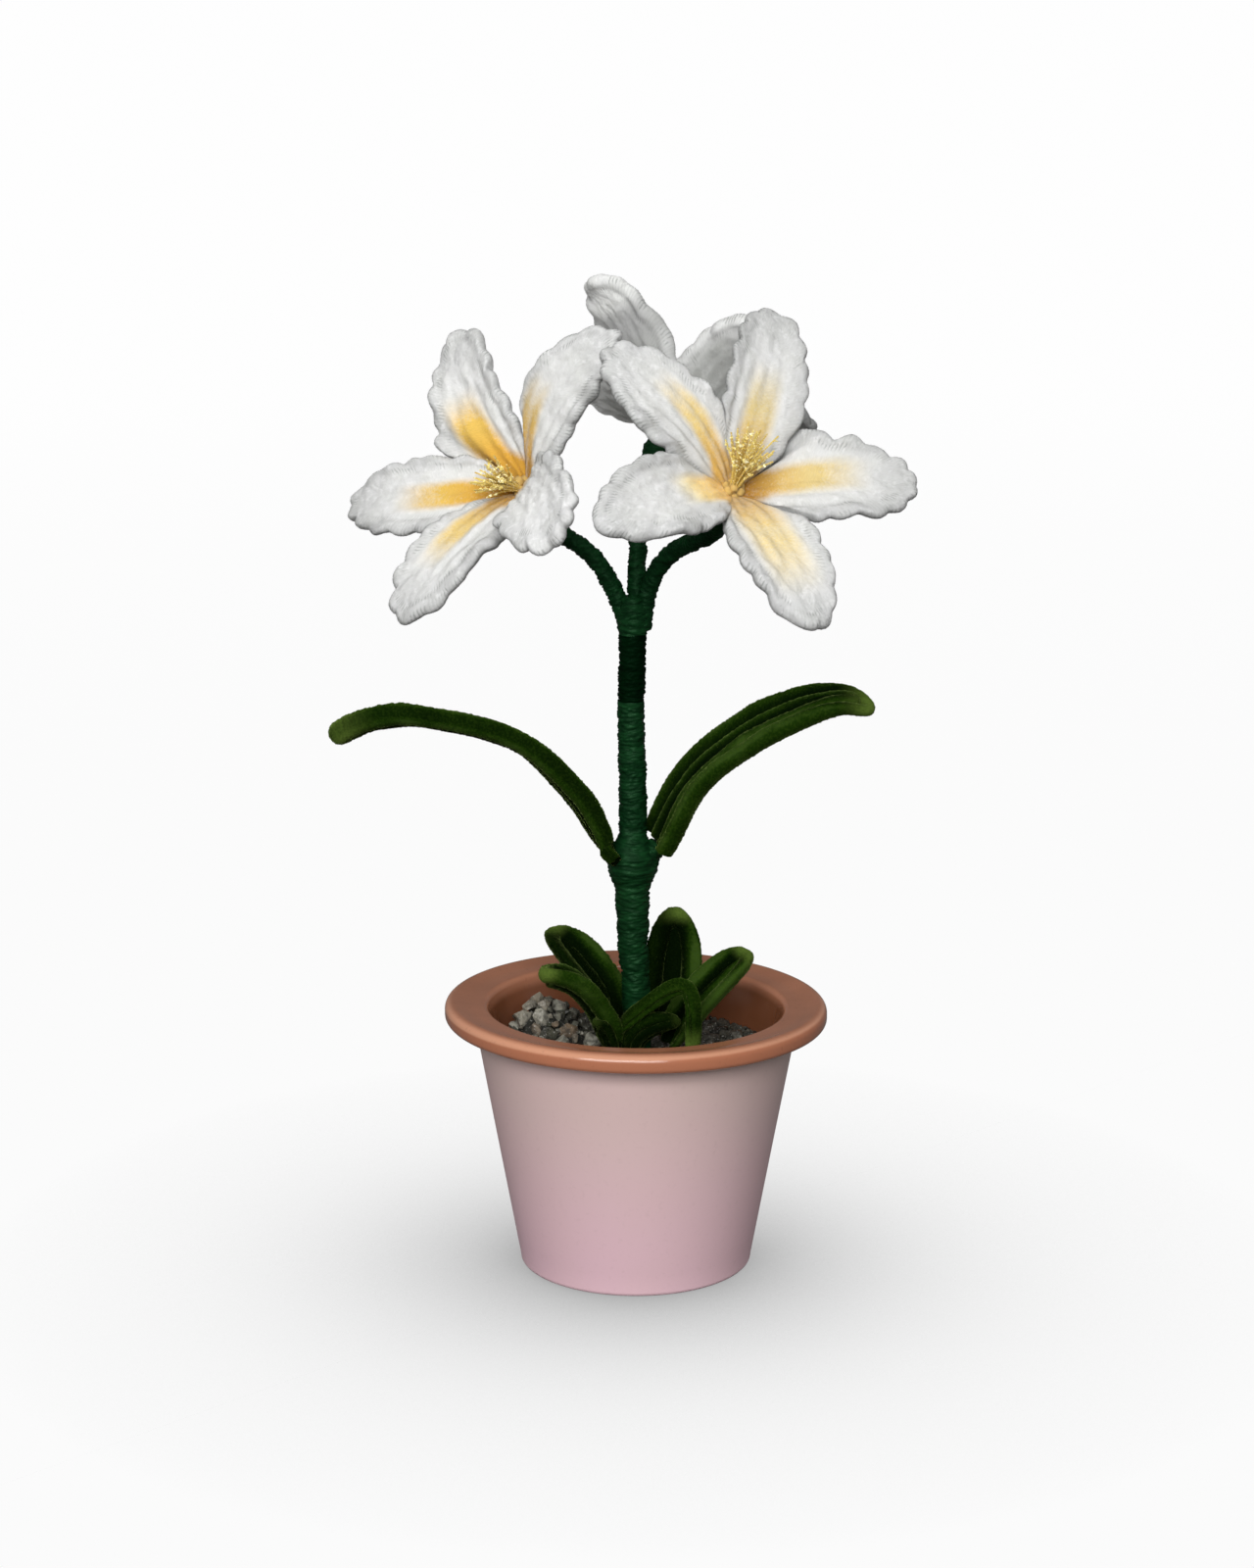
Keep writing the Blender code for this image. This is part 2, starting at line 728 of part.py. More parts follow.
def build_petal(name, bloom, number, group, material):
    """One petal: a wire stalk in the cup, then a trough of chenille loops."""
    throat, axis, side, up = bloom_frame(bloom)
    opening, length, swing, bow, bend, roll = bloom["petals"][number]
    turn = bloom["turn"] + math.tau * number / PETAL_COUNT
    radial = side * math.cos(turn) + up * math.sin(turn)
    tangent = axis.cross(radial)
    mouth = throat - axis * CUP_TO_THROAT
    middle = (PETAL_STALK_INNER + PETAL_STALK_OUTER) / 2
    stalk_half = (PETAL_STALK_OUTER - PETAL_STALK_INNER) / 2
    angle = math.radians(opening)
    start = Vector((middle, PETAL_FOOT))
    tip = Vector((length * MM * math.sin(angle), length * MM * math.cos(angle) + CUP_TO_THROAT))
    columns = 2 * PETAL_STRIPS + 1
    stations = [(Vector((middle, GAP - CUP_DEPTH)), Vector((0, 1)), 0.0, 0.0)]
    for row in range(PETAL_ROWS):
        share = 1 - (1 - row / (PETAL_ROWS - 1)) ** PETAL_ROW_CROWDING
        point, direction = arc_point(start, tip, math.radians(bend), share)
        if row == 0:
            direction = Vector((PETAL_FOOT_SLOPE, 1.0)).normalized()
        wave = 1 if (PETAL_ROWS - row) % 2 == 0 else -1
        stations.append((point, direction, share, wave))
    rows = []
    for point, direction, share, wave in stations:
        normal = Vector((-direction.y, direction.x))
        half = max(PETAL_STALK_WIDTH / 2, PETAL_WIDTH / 2 * petal_outline(share))
        grown = min(1.0, share / PETAL_GROWN)
        drift = (swing * share ** 1.2 + bow * math.sin(math.pi * share)) * MM
        twist = math.radians(roll) * min(1.0, share / PETAL_ROLLED)
        top, bottom = [], []
        for column in range(columns):
            across = 2 * column / (columns - 1) - 1
            crest = strip_relief(column, columns, STRIP_CREST, STRIP_VALLEY, STRIP_VALLEY)
            thick = stalk_half + (crest - stalk_half) * grown
            rim = abs(across) ** 4
            sideways = across * half * (1 + PETAL_SCALLOP * wave * rim)
            lift = PETAL_CAMBER * half * across ** 2 * math.sin(math.pi * min(share, 0.9))
            lift += PETAL_RUFFLE * wave * rim * min(1.0, share * 2)
            for height, points in ((lift + thick, top), (lift - thick, bottom)):
                spot = point + normal * (height * math.cos(twist) + sideways * math.sin(twist))
                shift = sideways * math.cos(twist) - height * math.sin(twist) + drift
                half_gap = math.tan(math.pi / PETAL_COUNT) * spot.x - PETAL_SIDE_GAP
                limit = max(PETAL_LEAST_HALF, half_gap)
                shift = max(-limit, min(limit, shift))
                points.append(mouth + radial * spot.x + axis * spot.y + tangent * shift)
        rows.append((top, bottom))
    return finish(blade(name, rows, group, material), 80)


def build_stamens(name, bloom, group, cutter_group, material):
    """Spray of gold filaments on one core, standing between the petals."""
    throat, axis, side, up = bloom_frame(bloom)
    heading, length = bloom["stamens"]
    heading = heading.normalized()
    mouth = throat - axis * CUP_TO_THROAT
    foot = mouth + axis * (GAP - CUP_DEPTH)
    core = [foot, mouth, throat + axis * STAMEN_CORE_RISE]
    core_radii = [STAMEN_CORE_RADIUS, STAMEN_CORE_RADIUS, STAMEN_CORE_RADIUS * STAMEN_THIN]
    pieces = [tube(name, core, core_radii, cutter_group, resolution=1)]
    for number in range(STAMEN_COUNT):
        turn = number * GOLDEN_ANGLE
        lean = STAMEN_SPREAD * math.sqrt((number + 0.5) / STAMEN_COUNT)
        away = side * math.cos(turn) + up * math.sin(turn)
        half = length * (1 - 0.08 * (number % 3)) / 2
        begin = throat + axis * STAMEN_FOOT
        halfway = begin + (heading * math.cos(0.6 * lean) + away * math.sin(0.6 * lean)) * half
        end = halfway + (heading * math.cos(1.2 * lean) + away * math.sin(1.2 * lean)) * half
        radii = [STAMEN_RADIUS * STAMEN_THIN, STAMEN_RADIUS * STAMEN_THIN, STAMEN_RADIUS * STAMEN_TIP]
        pieces.append(tube(f"{name}_{number}", [begin, halfway, end], radii, cutter_group, resolution=0))
    return finish(join_solids(name, pieces, group, material), 60)


def leaf_outline(share, base):
    """Half width of a leaf along its blade, as a part of the full half width."""
    rise = base + (1 - base) * math.sin(math.pi / 2 * min(1.0, share / LEAF_FULL)) ** 0.7
    past = max(0.0, (share - LEAF_NARROWS) / (LEAF_BLUNT_TIP - LEAF_NARROWS))
    return rise * math.sqrt(max(0.0, 1 - past ** 2.4))


def build_leaf(name, foot, path, width, shape, facing, group, material):
    """Leaf of chenille strips: a wire stalk, then a blade bent along its midrib.

    facing is the direction that the blade's hollow side turns to.
    """
    strips, trough, base, row_spacing = shape
    route = smooth_path(path, row_spacing)
    columns = 2 * strips + 1
    rise = (route[0] - foot).normalized()
    stalk = LEAF_STALK_RADIUS
    flat = stalk * LEAF_STALK_FLATNESS
    stations = [(foot, rise, None, 0), (route[0] - rise * LEAF_NECK, rise, None, 0)]
    for number, point in enumerate(route):
        before = route[max(0, number - 1)]
        after = route[min(len(route) - 1, number + 1)]
        share = number / (len(route) - 1)
        stations.append((point, (after - before).normalized(), share, 1 if number % 2 else -1))
    rows = []
    for point, direction, share, wave in stations:
        normal = (facing - direction * facing.dot(direction)).normalized()
        sideways = direction.cross(normal)
        top, bottom = [], []
        for column in range(columns):
            across = 2 * column / (columns - 1) - 1
            if share is None:
                half, thick, lift = stalk, flat, 0.0
            else:
                half = width / 2 * leaf_outline(share, base)
                crest = strip_relief(column, columns, LEAF_CREST, LEAF_VALLEY, LEAF_EDGE)
                grown = min(1.0, base + share / LEAF_GROWN)
                thick = flat + (crest - flat) * grown
                lift = trough * half * across ** 2
            reach = across * half * (1 + LEAF_SCALLOP * wave * abs(across) ** 4)
            top.append(point + sideways * reach + normal * (lift + thick))
            bottom.append(point + sideways * reach + normal * (lift - thick))
        rows.append((top, bottom))
    return finish(blade(name, rows, group, material), 80)


def build_long_leaf(side_name, leaf, group, material):
    """Arching leaf from the stem's lump, with its blade rolled about the midrib."""
    path = leaf["path"]
    span = (path[-1] - path[0]).normalized()
    level = Vector((-span.y, span.x, 0)).normalized()
    upward = span.cross(level)
    if upward.z < 0:
        upward.negate()
    hollow = Matrix.Rotation(leaf["roll"], 3, span) @ upward
    name = "long_leaf_" + side_name
    return build_leaf(name, leaf["stalk"], path, leaf["width"], LONG_LEAF_SHAPE, hollow, group, material)


def build_short_leaf(side_name, leaf, group, material):
    """Short leaf at the stem's foot, standing in the gravel on its wire."""
    path = [Vector(point) * MM for point in leaf["path"]]
    foot = Vector((path[0].x, path[0].y, FOAM_TOP - STALK_DEPTH + GAP))
    angle = math.radians(leaf["faces"])
    hollow = Vector((math.cos(angle), math.sin(angle), SHORT_LEAF_TILT)).normalized()
    name = "short_leaf_" + side_name
    return build_leaf(name, foot, path, leaf["width"], SHORT_LEAF_SHAPE, hollow, group, material)


def main():
    clear_scene()
    lily = new_collection("potted_lily")
    cutters = new_collection("cutters")

    pot_pink = new_material("pot_pink", (0.60, 0.42, 0.42), 0.55)
    foam_green = new_material("foam_green", (0.10, 0.16, 0.07), 0.95)
    gravel_grey = new_material("gravel_grey", (0.20, 0.19, 0.15), 0.9)
    stem_tape = new_material("stem_tape", (0.010, 0.050, 0.014), 0.6)
    petal_white = new_material("petal_white", (0.86, 0.86, 0.83), 0.95)
    stamen_gold = new_material("stamen_gold", (0.72, 0.52, 0.16), 0.4)
    leaf_green = new_material("leaf_green", (0.030, 0.075, 0.010), 0.95)

    build_pot(lily, pot_pink)
    build_foam(lily, cutters, foam_green)
    build_gravel(lily, cutters, gravel_grey)
    build_stem(lily, cutters, stem_tape)
    for name, bloom in BLOOMS.items():
        for number in range(PETAL_COUNT):
            build_petal(f"petal_{name}_{number + 1}", bloom, number, lily, petal_white)
        build_stamens("stamens_" + name, bloom, lily, cutters, stamen_gold)
    for name, leaf in LONG_LEAVES.items():
        build_long_leaf(name, leaf, lily, leaf_green)
    for name, leaf in SHORT_LEAVES.items():
        build_short_leaf(name, leaf, lily, leaf_green)


main()
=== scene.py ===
"""The look of a potted lily made of chenille stems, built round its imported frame.

Lengths are written in millimetres and turned into metres where a mesh is made.
Petals and leaves are nested loops of chenille. A loop is laid out flat first,
as (along the blade, across it, height over it), and a placing function then
bends that flat blade to the shape of its CAD node.
"""

import math

import bmesh
import bpy
import numpy as np
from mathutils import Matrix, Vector, noise


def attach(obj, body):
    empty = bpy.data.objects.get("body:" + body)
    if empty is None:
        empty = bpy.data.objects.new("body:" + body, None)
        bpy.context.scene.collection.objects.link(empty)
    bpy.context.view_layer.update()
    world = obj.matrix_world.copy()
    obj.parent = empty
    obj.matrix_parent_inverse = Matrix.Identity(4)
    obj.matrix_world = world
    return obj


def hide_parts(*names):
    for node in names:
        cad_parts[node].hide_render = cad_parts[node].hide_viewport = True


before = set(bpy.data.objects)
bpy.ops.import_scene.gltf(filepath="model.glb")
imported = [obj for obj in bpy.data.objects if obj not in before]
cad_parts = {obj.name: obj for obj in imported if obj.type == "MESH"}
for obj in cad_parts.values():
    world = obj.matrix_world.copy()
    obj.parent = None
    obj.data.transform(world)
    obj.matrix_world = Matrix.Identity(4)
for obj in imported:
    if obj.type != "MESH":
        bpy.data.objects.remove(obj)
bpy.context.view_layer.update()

MM = 0.001
rng = np.random.default_rng(11)


# ---- geometry of the frame, repeated from the part's source, in millimetres

CUP_TO_THROAT = 4.0
PETAL_HALF = 12.0
PETAL_WIDEST = 0.53
PETAL_START = np.array([2.15, 1.2])
PETAL_CAMBER = 0.2
# Where a petal's and a leaf's foot reach full width, how round the foot is, and
# where a leaf starts to narrow
PETAL_RISE, PETAL_FOOT_ROUND = 0.42, 0.52
LEAF_RISE, LEAF_FOOT_ROUND, LEAF_FALL = 0.4, 0.7, 0.55

# Each bloom's throat, facing axis, its stamens' heading and length, the turn of
# its first petal, and its branch's centre line from the fork to the cup.
# Petals: first the solid's opening, length, swing, bow, bend and roll, then what
# the pile changes on it: length and width as parts of the solid's, added swing
# and bow, how much wider one side is at one place along it (a minus sign is the
# other side), how ruffled the edge is, that place, and how broad the tip is.
BLOOMS = {
    "left": {
        "throat": (-32.4, -4.0, 226.8),
        "axis": (-0.650, -0.550, 0.525),
        "stamens": ((-0.68, -0.66, 0.31), 18.5),
        "turn": 54.9,
        "petals": [
            ((75.8, 54.0, -0.9, 1.0, 22, 26), (1.0, 0.86, 0.7, 1.9, 0.14, 0.9, 0.34, 2.35)),
            ((72.7, 51.9, 3.4, 2.4, 20, 0), (1.0, 0.99, 1.8, 0.7, 0.52, 1.0, 0.34, 2.7)),
            ((75.5, 54.7, 3.7, 2.0, 24, 0), (0.99, 0.98, -1.6, 0.7, 0.0, 0.9, 0.34, 2.5)),
            ((71.2, 53.1, -1.5, 2.5, 20, -12), (1.0, 0.93, -0.4, -0.7, 0.0, 0.9, 0.34, 2.35)),
            ((74.6, 53.9, -3.8, 1.0, 26, 0), (0.95, 1.02, 1.8, 0.0, 0.0, 1.0, 0.34, 4.0)),
        ],
        "branch": [
            (-2.5, 0.0, 186), (-5.7, 0.4, 195.8), (-9.6, 1.0, 202.9),
            (-13.9, 2.2, 207.6), (-18.7, 3.6, 210.7), (-22.9, 4.0, 214.9),
        ],
    },
    "right": {
        "throat": (26.1, -36.0, 230.2),
        "axis": (0.288, -0.706, 0.647),
        "stamens": ((0.28, -0.62, 0.76), 22.5),
        "turn": -12.9,
        "petals": [
            ((76.5, 49.5, 0.4, -2.0, 20, 0), (0.985, 1.05, 0.6, 1.3, 0.4, 0.8, 0.34, 2.35)),
            ((75.7, 53.4, 4.0, -2.0, 20, 0), (1.0, 0.92, 2.6, 1.0, 0.0, 0.7, 0.34, 2.7)),
            ((76.2, 50.0, 0.1, -1.5, 24, 0), (1.0, 0.97, 0.0, 0.6, 0.28, 0.7, 0.60, 2.35)),
            ((75.2, 52.6, -3.6, 0.8, 22, 0), (1.025, 1.0, 1.6, -1.3, 0.0, 0.5, 0.34, 1.35)),
            ((77.7, 53.4, 0.1, -2.0, 22, 0), (1.0, 1.02, -0.4, 1.0, 0.1, 0.6, 0.34, 1.9)),
        ],
        "branch": [
            (1.5, 0.0, 186), (3.4, -1.0, 196.7), (6.6, -4.0, 204.4),
            (11.4, -9.5, 209.8), (17.0, -16.5, 213.3), (21.4, -22.5, 216.8),
        ],
    },
    "back": {
        "throat": (9.7, 30.0, 238.2),
        "axis": (0.440, 0.621, 0.648),
        "stamens": ((0.440, 0.621, 0.648), 21),
        "turn": 63.9,
        "petals": [
            ((62.5, 47.5, -1.2, -1.0, 34, 0), (1.04, 0.94, -1.2, -2.2, -0.25, 0.5, 0.74, 2.35)),
            ((67.3, 50.0, 2.4, 0.0, 28, 0), (0.89, 0.92, 1.3, 0.8, 0.0, 0.3, 0.5, 2.35)),
            ((63.2, 51.5, -1.8, 0.0, 24, 0), (0.82, 0.85, 2.0, 0.0, 0.0, 0.5, 0.5, 2.35)),
            ((65.7, 51.0, 0.0, 0.0, 24, 0), (1.0, 0.95, 0.0, 0.0, 0.0, 0.7, 0.5, 2.35)),
            ((67.3, 50.0, -2.0, 0.0, 24, 0), (1.0, 0.96, 0.0, 0.0, -0.65, 0.8, 0.5, 2.35)),
        ],
        "branch": [
            (-0.8, 0.0, 186), (0.0, 1.0, 197), (0.4, 4.0, 208),
            (1.2, 9.0, 218), (3.2, 16.5, 227),
        ],
    },
}

# Stalk's inner end, sleeve's outer end, midrib from the blade's foot to its tip,
# width and roll.
# Light, painted into the pile's colour: how light the left and right halves are,
# how much the inner loop is lit like the rim, how much darker the rim's outward
# face is, and how much lighter its inward face.
# End: how much the strips swell toward the tip, or less than 0 where the outer
# one thins, and how blunt the tip is.
# Foot: how wide the blade starts, as a part of its width.
LONG_LEAVES = {
    "left": {
        "stalk": (-3.6, 0.0, 117.0),
        "sleeve": (-8.6, -0.6, 123.5),
        "path": [
            (-4.9, -5.6, 119.5), (-9.3, -2.4, 124.6), (-18.3, -2.5, 139.3), (-34.3, -4.5, 154.4),
            (-60.0, -6.0, 161.3), (-74.0, -6.0, 160.8), (-85.6, -6.0, 156.6),
        ],
        "width": 18,
        "roll": 12,
        "light": (1.9, 1.9, 0.0, 0.62, 0.0),
        "end": (0.18, 1.9),
        "foot": 0.7,
    },
    "right": {
        "stalk": (3.0, -0.6, 117.5),
        "sleeve": (6.9, -1.6, 126.0),
        "path": [
            (7.1, -2.6, 124.8), (15.7, -4.0, 142.0), (28.2, -7.0, 154.2),
            (43.2, -9.5, 163.1), (57.0, -11.5, 167.4), (67.2, -12.0, 164.5),
        ],
        "width": 20.5,
        "roll": 21,
        "light": (1.9, 2.2, 0.35, 0.0, 0.0),
        "end": (-0.45, 1.35),
        "foot": 0.95,
    },
}

SHORT_LEAF_TILT = 0.45


def hollow_to(compass):
    """Direction of a leaf's hollow side, from where it points on a compass."""
    angle = math.radians(compass)
    return math.cos(angle), math.sin(angle), SHORT_LEAF_TILT


# Each short leaf's midrib from the gravel to the tip, width, direction of its
# hollow side, half its strips' thickness, how blunt its tip is, and its painted
# light, which says the same as a long leaf's but with a middle strip for an inner loop
SHORT_LEAVES = {
    "back_left": (
        [(-6.6, 5.5, 65), (-9.8, 7.5, 77.2), (-17.6, 11.0, 87.4), (-26.0, 15.0, 94.4)],
        15.5, hollow_to(-38), 2.2, 2.4, (0.2, 2.3, 0.15, 0.0, 0.0)),
    "front_left": (
        [(-6.8, -6.0, 65), (-11.4, -8.6, 77), (-18.0, -12.5, 85.8), (-27.2, -16.0, 90.2)],
        13.8, hollow_to(22), 2.4, 2.8, (1.25, 1.25, 0.15, -0.9, 0.0)),
    "back_right": (
        [(7.0, 7.5, 65), (10.1, 11.0, 78), (11.2, 13.5, 90), (11.4, 14.5, 101.6)],
        16.5, hollow_to(-95), 2.2, 1.7, (0.45, 2.3, 0.05, 0.0, 0.0)),
    "right": (
        [(10.0, -2.0, 65), (15.8, -2.8, 74.5), (24.4, -1.0, 84), (33.2, 2.0, 91.4)],
        13, hollow_to(-140), 2.3, 2.2, (2.8, 2.2, 0.5, -1.0, 3.5)),
    "front_right": (
        [(-4.0, -8.5, 65), (-2.6, -10.0, 73.5), (5.0, -14.0, 81.4), (13.0, -17.5, 86.8),
         (16.0, -19.0, 82.5), (16.2, -20.0, 69)],
        4.2, (0.35, 0.22, 0.90), 1.8, 2.8, (1.2, 1.2, 0.6, 0.0, 0.0)),
    "low_left": (
        [(-6.5, -12.5, 65), (-7.6, -14.8, 70), (-9.6, -17.5, 75.0), (-11.8, -20.0, 76.5)],
        4.6, hollow_to(50), 1.1, 2.0, (0.3, 0.3, 0.1, 0.0, 0.0)),
    "low_right": (
        [(-1.2, -8.5, 64), (1.0, -10.5, 70), (5.8, -12.3, 73.6), (12.6, -13.5, 75.4)],
        7.6, hollow_to(100), 1.3, 1.8, (0.3, 0.3, 0.1, 0.0, 0.0)),
}

# The stem's centre line, and its thickness by height
STEM_PATH = [
    (0.3, 0, 14), (0.3, 0, 72), (-0.8, 0, 95), (-1.0, 0, 118),
    (-1.0, 0, 141), (-1.4, 0, 160), (-1.1, 0, 180), (-0.9, 0, 195),
]
STEM_THICKNESS = [
    (84, 4.0), (104, 4.7), (112, 5.2), (117, 7.3), (121, 6.9),
    (126, 4.3), (130, 4.0), (178, 3.7), (186, 4.2), (191, 4.6), (195, 4.0),
]
# Heights of the band where the stem is painted darker, the blooms' painted shadow
PAINTED_SHADOW_ON_TAPE = (165.3, 184.5)
BRANCH_RADIUS = 2.5
CUP_RADIUS = 4.2
CUP_LENGTH = 9.5

# The pot's inner wall, rim and outer wall, and the gravel with its mound
POT_FLOOR = 5.0
POT_INNER_FOOT = 29.0
POT_MOUTH = 42.6
POT_TOP = 76.8
POT_UNDER_RIM = 73.2
POT_SHOULDER = 47.0
# How far out of level the rim is, and the heights over which that sets in
RIM_LEAN = 0.011
LEAN_FROM, LEAN_OVER = 40, 33
BED_TOP = 62.5
MOUND_HEIGHT = 12.0
MOUND_CENTRE = (-28.0, 11.0)
MOUND_SPREAD = 10.0
BED_EDGE = 8.0

# Chenille: points round a strip, a fibre's width, how deep it is rooted, and the
# fibres' lengths and leans in degrees on petals, leaves and throats
STRIP_SIDES = 14
FIBRE_WIDTH = 0.12
FIBRE_ROOT = 0.12
PETAL_PILE = ((0.5, 1.3), FIBRE_WIDTH, (25, 74))
LEAF_PILE = ((0.5, 1.5), FIBRE_WIDTH, (10, 58))
KNOB_PILE = ((0.3, 0.7), 0.14, (10, 60))
KNOB_FIBRES = 400

# A petal's grooves, where it starts, rows from foot to tip, half thickness, the
# lobes and wave of its edge, and how far along a widened side's bulge reaches
RELIEF = 0.22
PETAL_FOOT = 0.02
PETAL_ROWS = 84
PETAL_THICK = 2.0
LOBE_LENGTH = 7.6
LOBE_REACH = 1.9
EDGE_WAVE = 2.2
BULGE_LENGTH = 0.17
# Where a petal starts to yield to its neighbours, as a part of its sector, how
# far it dips there, how far a widened side tucks under, how far out both are
# full, and the part of the petal over which its roll sets in
YIELD_FROM = 0.86
DIP = 1.2
TUCK_UNDER = 3.6
DIP_OUT = 9
ROLL_OVER = 0.4
# A petal's least half width where it is bent, and the least half width and the
# margin of its sector
LEAST_HALF = 3.0
SECTOR_LEAST, SECTOR_MARGIN = 0.6, 0.45
PETAL_FIBRES = {
    "left": [19000] * 5,
    "right": [19000] * 5,
    "back": [18000, 18000, 11000, 11000, 11000],
}

# Blush of each petal: how far it reaches along and across, its strength, its
# offset to one side, how pale its middle line is, and how warm, how brown at
# the foot, partly painted shade of the throat, and how bright its yellow is,
# partly painted light and shade of each petal
BLUSH = {
    "left": [
        (0.53, 0.30, 0.95, 0.40, 0.35, 0.6, 0.7, 1.0),
        (0.58, 0.52, 1.15, 0.22, 0.0, 1.0, 0.3, 1.15),
        (0.61, 0.38, 1.0, 0.10, 0.0, 1.0, 0.9, 1.0),
        (0.66, 0.31, 0.92, -0.20, 0.0, 0.4, 0.6, 1.0),
        (0.34, 0.4, 0.6, 0.0, 0.0, 0.5, 0.3, 1.0),
    ],
    "right": [
        (0.68, 0.42, 1.0, 0.10, 0.0, 0.1, 1.0, 0.93),
        (0.61, 0.39, 0.9, 0.0, 0.0, 0.0, 0.5, 0.86),
        (0.66, 0.31, 0.95, -0.20, 0.25, 0.2, 0.1, 1.08),
        (0.46, 0.42, 0.95, 0.0, 0.0, -0.3, 0.0, 1.42),
        (0.77, 0.60, 0.80, 0.0, 0.0, 0.05, 0.2, 1.06),
    ],
    "back": [(0.5, 0.3, 0.8, 0.0, 0.0, 0.3, 0.5, 1.0)] * 5,
}
# Its yellows near the throat and further out, pale and warm, and its brown, partly painted shade
# of the throat
PALE_NEAR, PALE_FAR = np.array(((0.66, 0.44, 0.13), (0.70, 0.565, 0.26)))
WARM_NEAR, WARM_FAR = np.array(((0.62, 0.345, 0.050), (0.70, 0.47, 0.105)))
FOOT_BROWN = np.array((0.38, 0.185, 0.022))

# How light each petal's pile is painted, for the light and shade each one gets;
# where its painted hollow turns pale if not near the tip; and how much lighter a
# folded tip is painted
PAINTED_LIGHTNESS = {
    "left": [1.13, 1.09, 1.05, 1.02, 1.18],
    "right": [0.97, 0.92, 1.03, 1.03, 1.02],
    "back": [0.80, 1.12, 0.55, 0.82, 1.18],
}
PALE_FROM = {"petal_back_1": 0.68}
TIP_LIGHT = {"petal_back_1": 1.1}

# Leaves with two loops: fibres on each, trough, and half the strips' thickness.
# Leaves with one loop and a middle strip: fibres, trough, foot and swelling tip
LONG_FIBRES, LONG_TROUGH, LONG_THICK = (26000, 12000), 0.15, 2.8
SHORT_FIBRES, SHORT_TROUGH, SHORT_FOOT, SHORT_END = (13000, 4500), 0.35, 0.3, -0.12
# Half widths of a rim's strip and a middle strip, as parts of the pitch; how far
# a middle strip lies under the rim; and the spacing of rows along a strip
RIM_WIDE, MIDDLE_WIDE = 0.56, 0.60
MIDDLE_DROP = 1.1
LEAF_STEP = 0.5

# Lumps of a throat's knob: turn, distance from the axis, height over the throat
# and radius
KNOB = [
    (0.3, 2.2, -0.9, 1.25), (1.4, 1.9, -1.0, 1.5), (2.5, 2.3, -1.1, 1.2), (3.5, 1.9, -0.8, 1.45),
    (4.6, 2.2, -1.2, 1.1), (5.6, 1.8, -0.7, 1.4), (1.2, 0.7, 0.9, 1.5), (4.0, 1.1, 0.8, 1.15),
]

# The sprays of stamens: filaments in each, glitter flakes on each filament, its
# radius and sides, how far the outermost ones lean, and the turn between two
FILAMENTS = 38
FLAKES = 9
FILAMENT_RADIUS, FILAMENT_SIDES = 0.24, 5
SPRAY_LEAN = {"stamens_left": 20, "stamens_right": 23, "stamens_back": 24}
GOLDEN_ANGLE = 2.39996

# Pale stones on the mound: place and radius; the rest, as tries at a radius; and
# the bed under them, which ends short of the wall and the stem
PALE_STONES = [
    (-32.0, 4.5, 2.7), (-27.4, 3.6, 2.3), (-34.9, 8.6, 2.5), (-30.6, 8.4, 2.6),
    (-26.6, 8.4, 2.2), (-33.0, 13.0, 2.6), (-28.4, 12.6, 2.5),
]
OTHER_STONES = ((2.6, 200), (2.0, 1500), (1.3, 6000), (0.85, 9000))
STONE_SHAPES = 14
STONE_CORNERS = 15
SMALL_STONE = 1.5
BED_ROWS, BED_COLUMNS = 22, 72
BED_BOTTOM = 56.0
BED_SINK = 1.6
WALL_GAP = 0.4
STEM_ROOM = 4.4

# The tape: distance between its turns, how far a turn's edge stands out, where
# along a turn the next one covers it, how deep its creases and fine folds are,
# how wide these are as a part of the noise, and where the band painted with the
# blooms' shadow ends sideways
TAPE_PITCH = 2.35
TAPE_EDGE = 0.32
TAPE_COVERED = 0.84
CREASE_DEPTH, CREASE_WIDTH = 0.50, 0.22
FOLD_DEPTH, FOLD_WIDTH = 0.14, 0.2
PAINTED_SHADOW_REACH = 6.5
SLEEVE_RADIUS = 2.7
STEM_SIDES, BRANCH_SIDES, CUP_SIDES, SLEEVE_SIDES = 44, 28, 32, 24

# Distance between the ribs that a chenille stem's turns leave on a petal
RIB_PITCH = 1.05


def unit(vectors):
    vectors = np.asarray(vectors, float)
    return vectors / np.maximum(np.linalg.norm(vectors, axis=-1, keepdims=True), 1e-9)


def blend(a, b, share):
    """From a to b by a share from 0 to 1."""
    return a * (1 - share) + b * share


def clamp(values):
    return np.clip(values, 0, 1)


def ramp(values, start, length):
    """From 0 to 1 over a length from a start."""
    return clamp((values - start) / length)


def smooth(values):
    """Smooth step from 0 to 1."""
    values = clamp(values)
    return values * values * (3 - 2 * values)


def stacked(*parts):
    """Numbers and arrays, spread to one shape, side by side in a last axis."""
    return np.stack(np.broadcast_arrays(*parts), -1)


def turned(a, b, angle):
    """Direction at an angle from one direction toward another."""
    return a * math.cos(angle) + b * math.sin(angle)


def distances(line):
    """How far along it each point of a line is."""
    return np.concatenate([[0], np.cumsum(np.linalg.norm(np.diff(line, axis=0), axis=1))])


# ---- meshes


def placed(name, data):
    item = bpy.data.objects.new(name, data)
    bpy.context.scene.collection.objects.link(item)
    return item


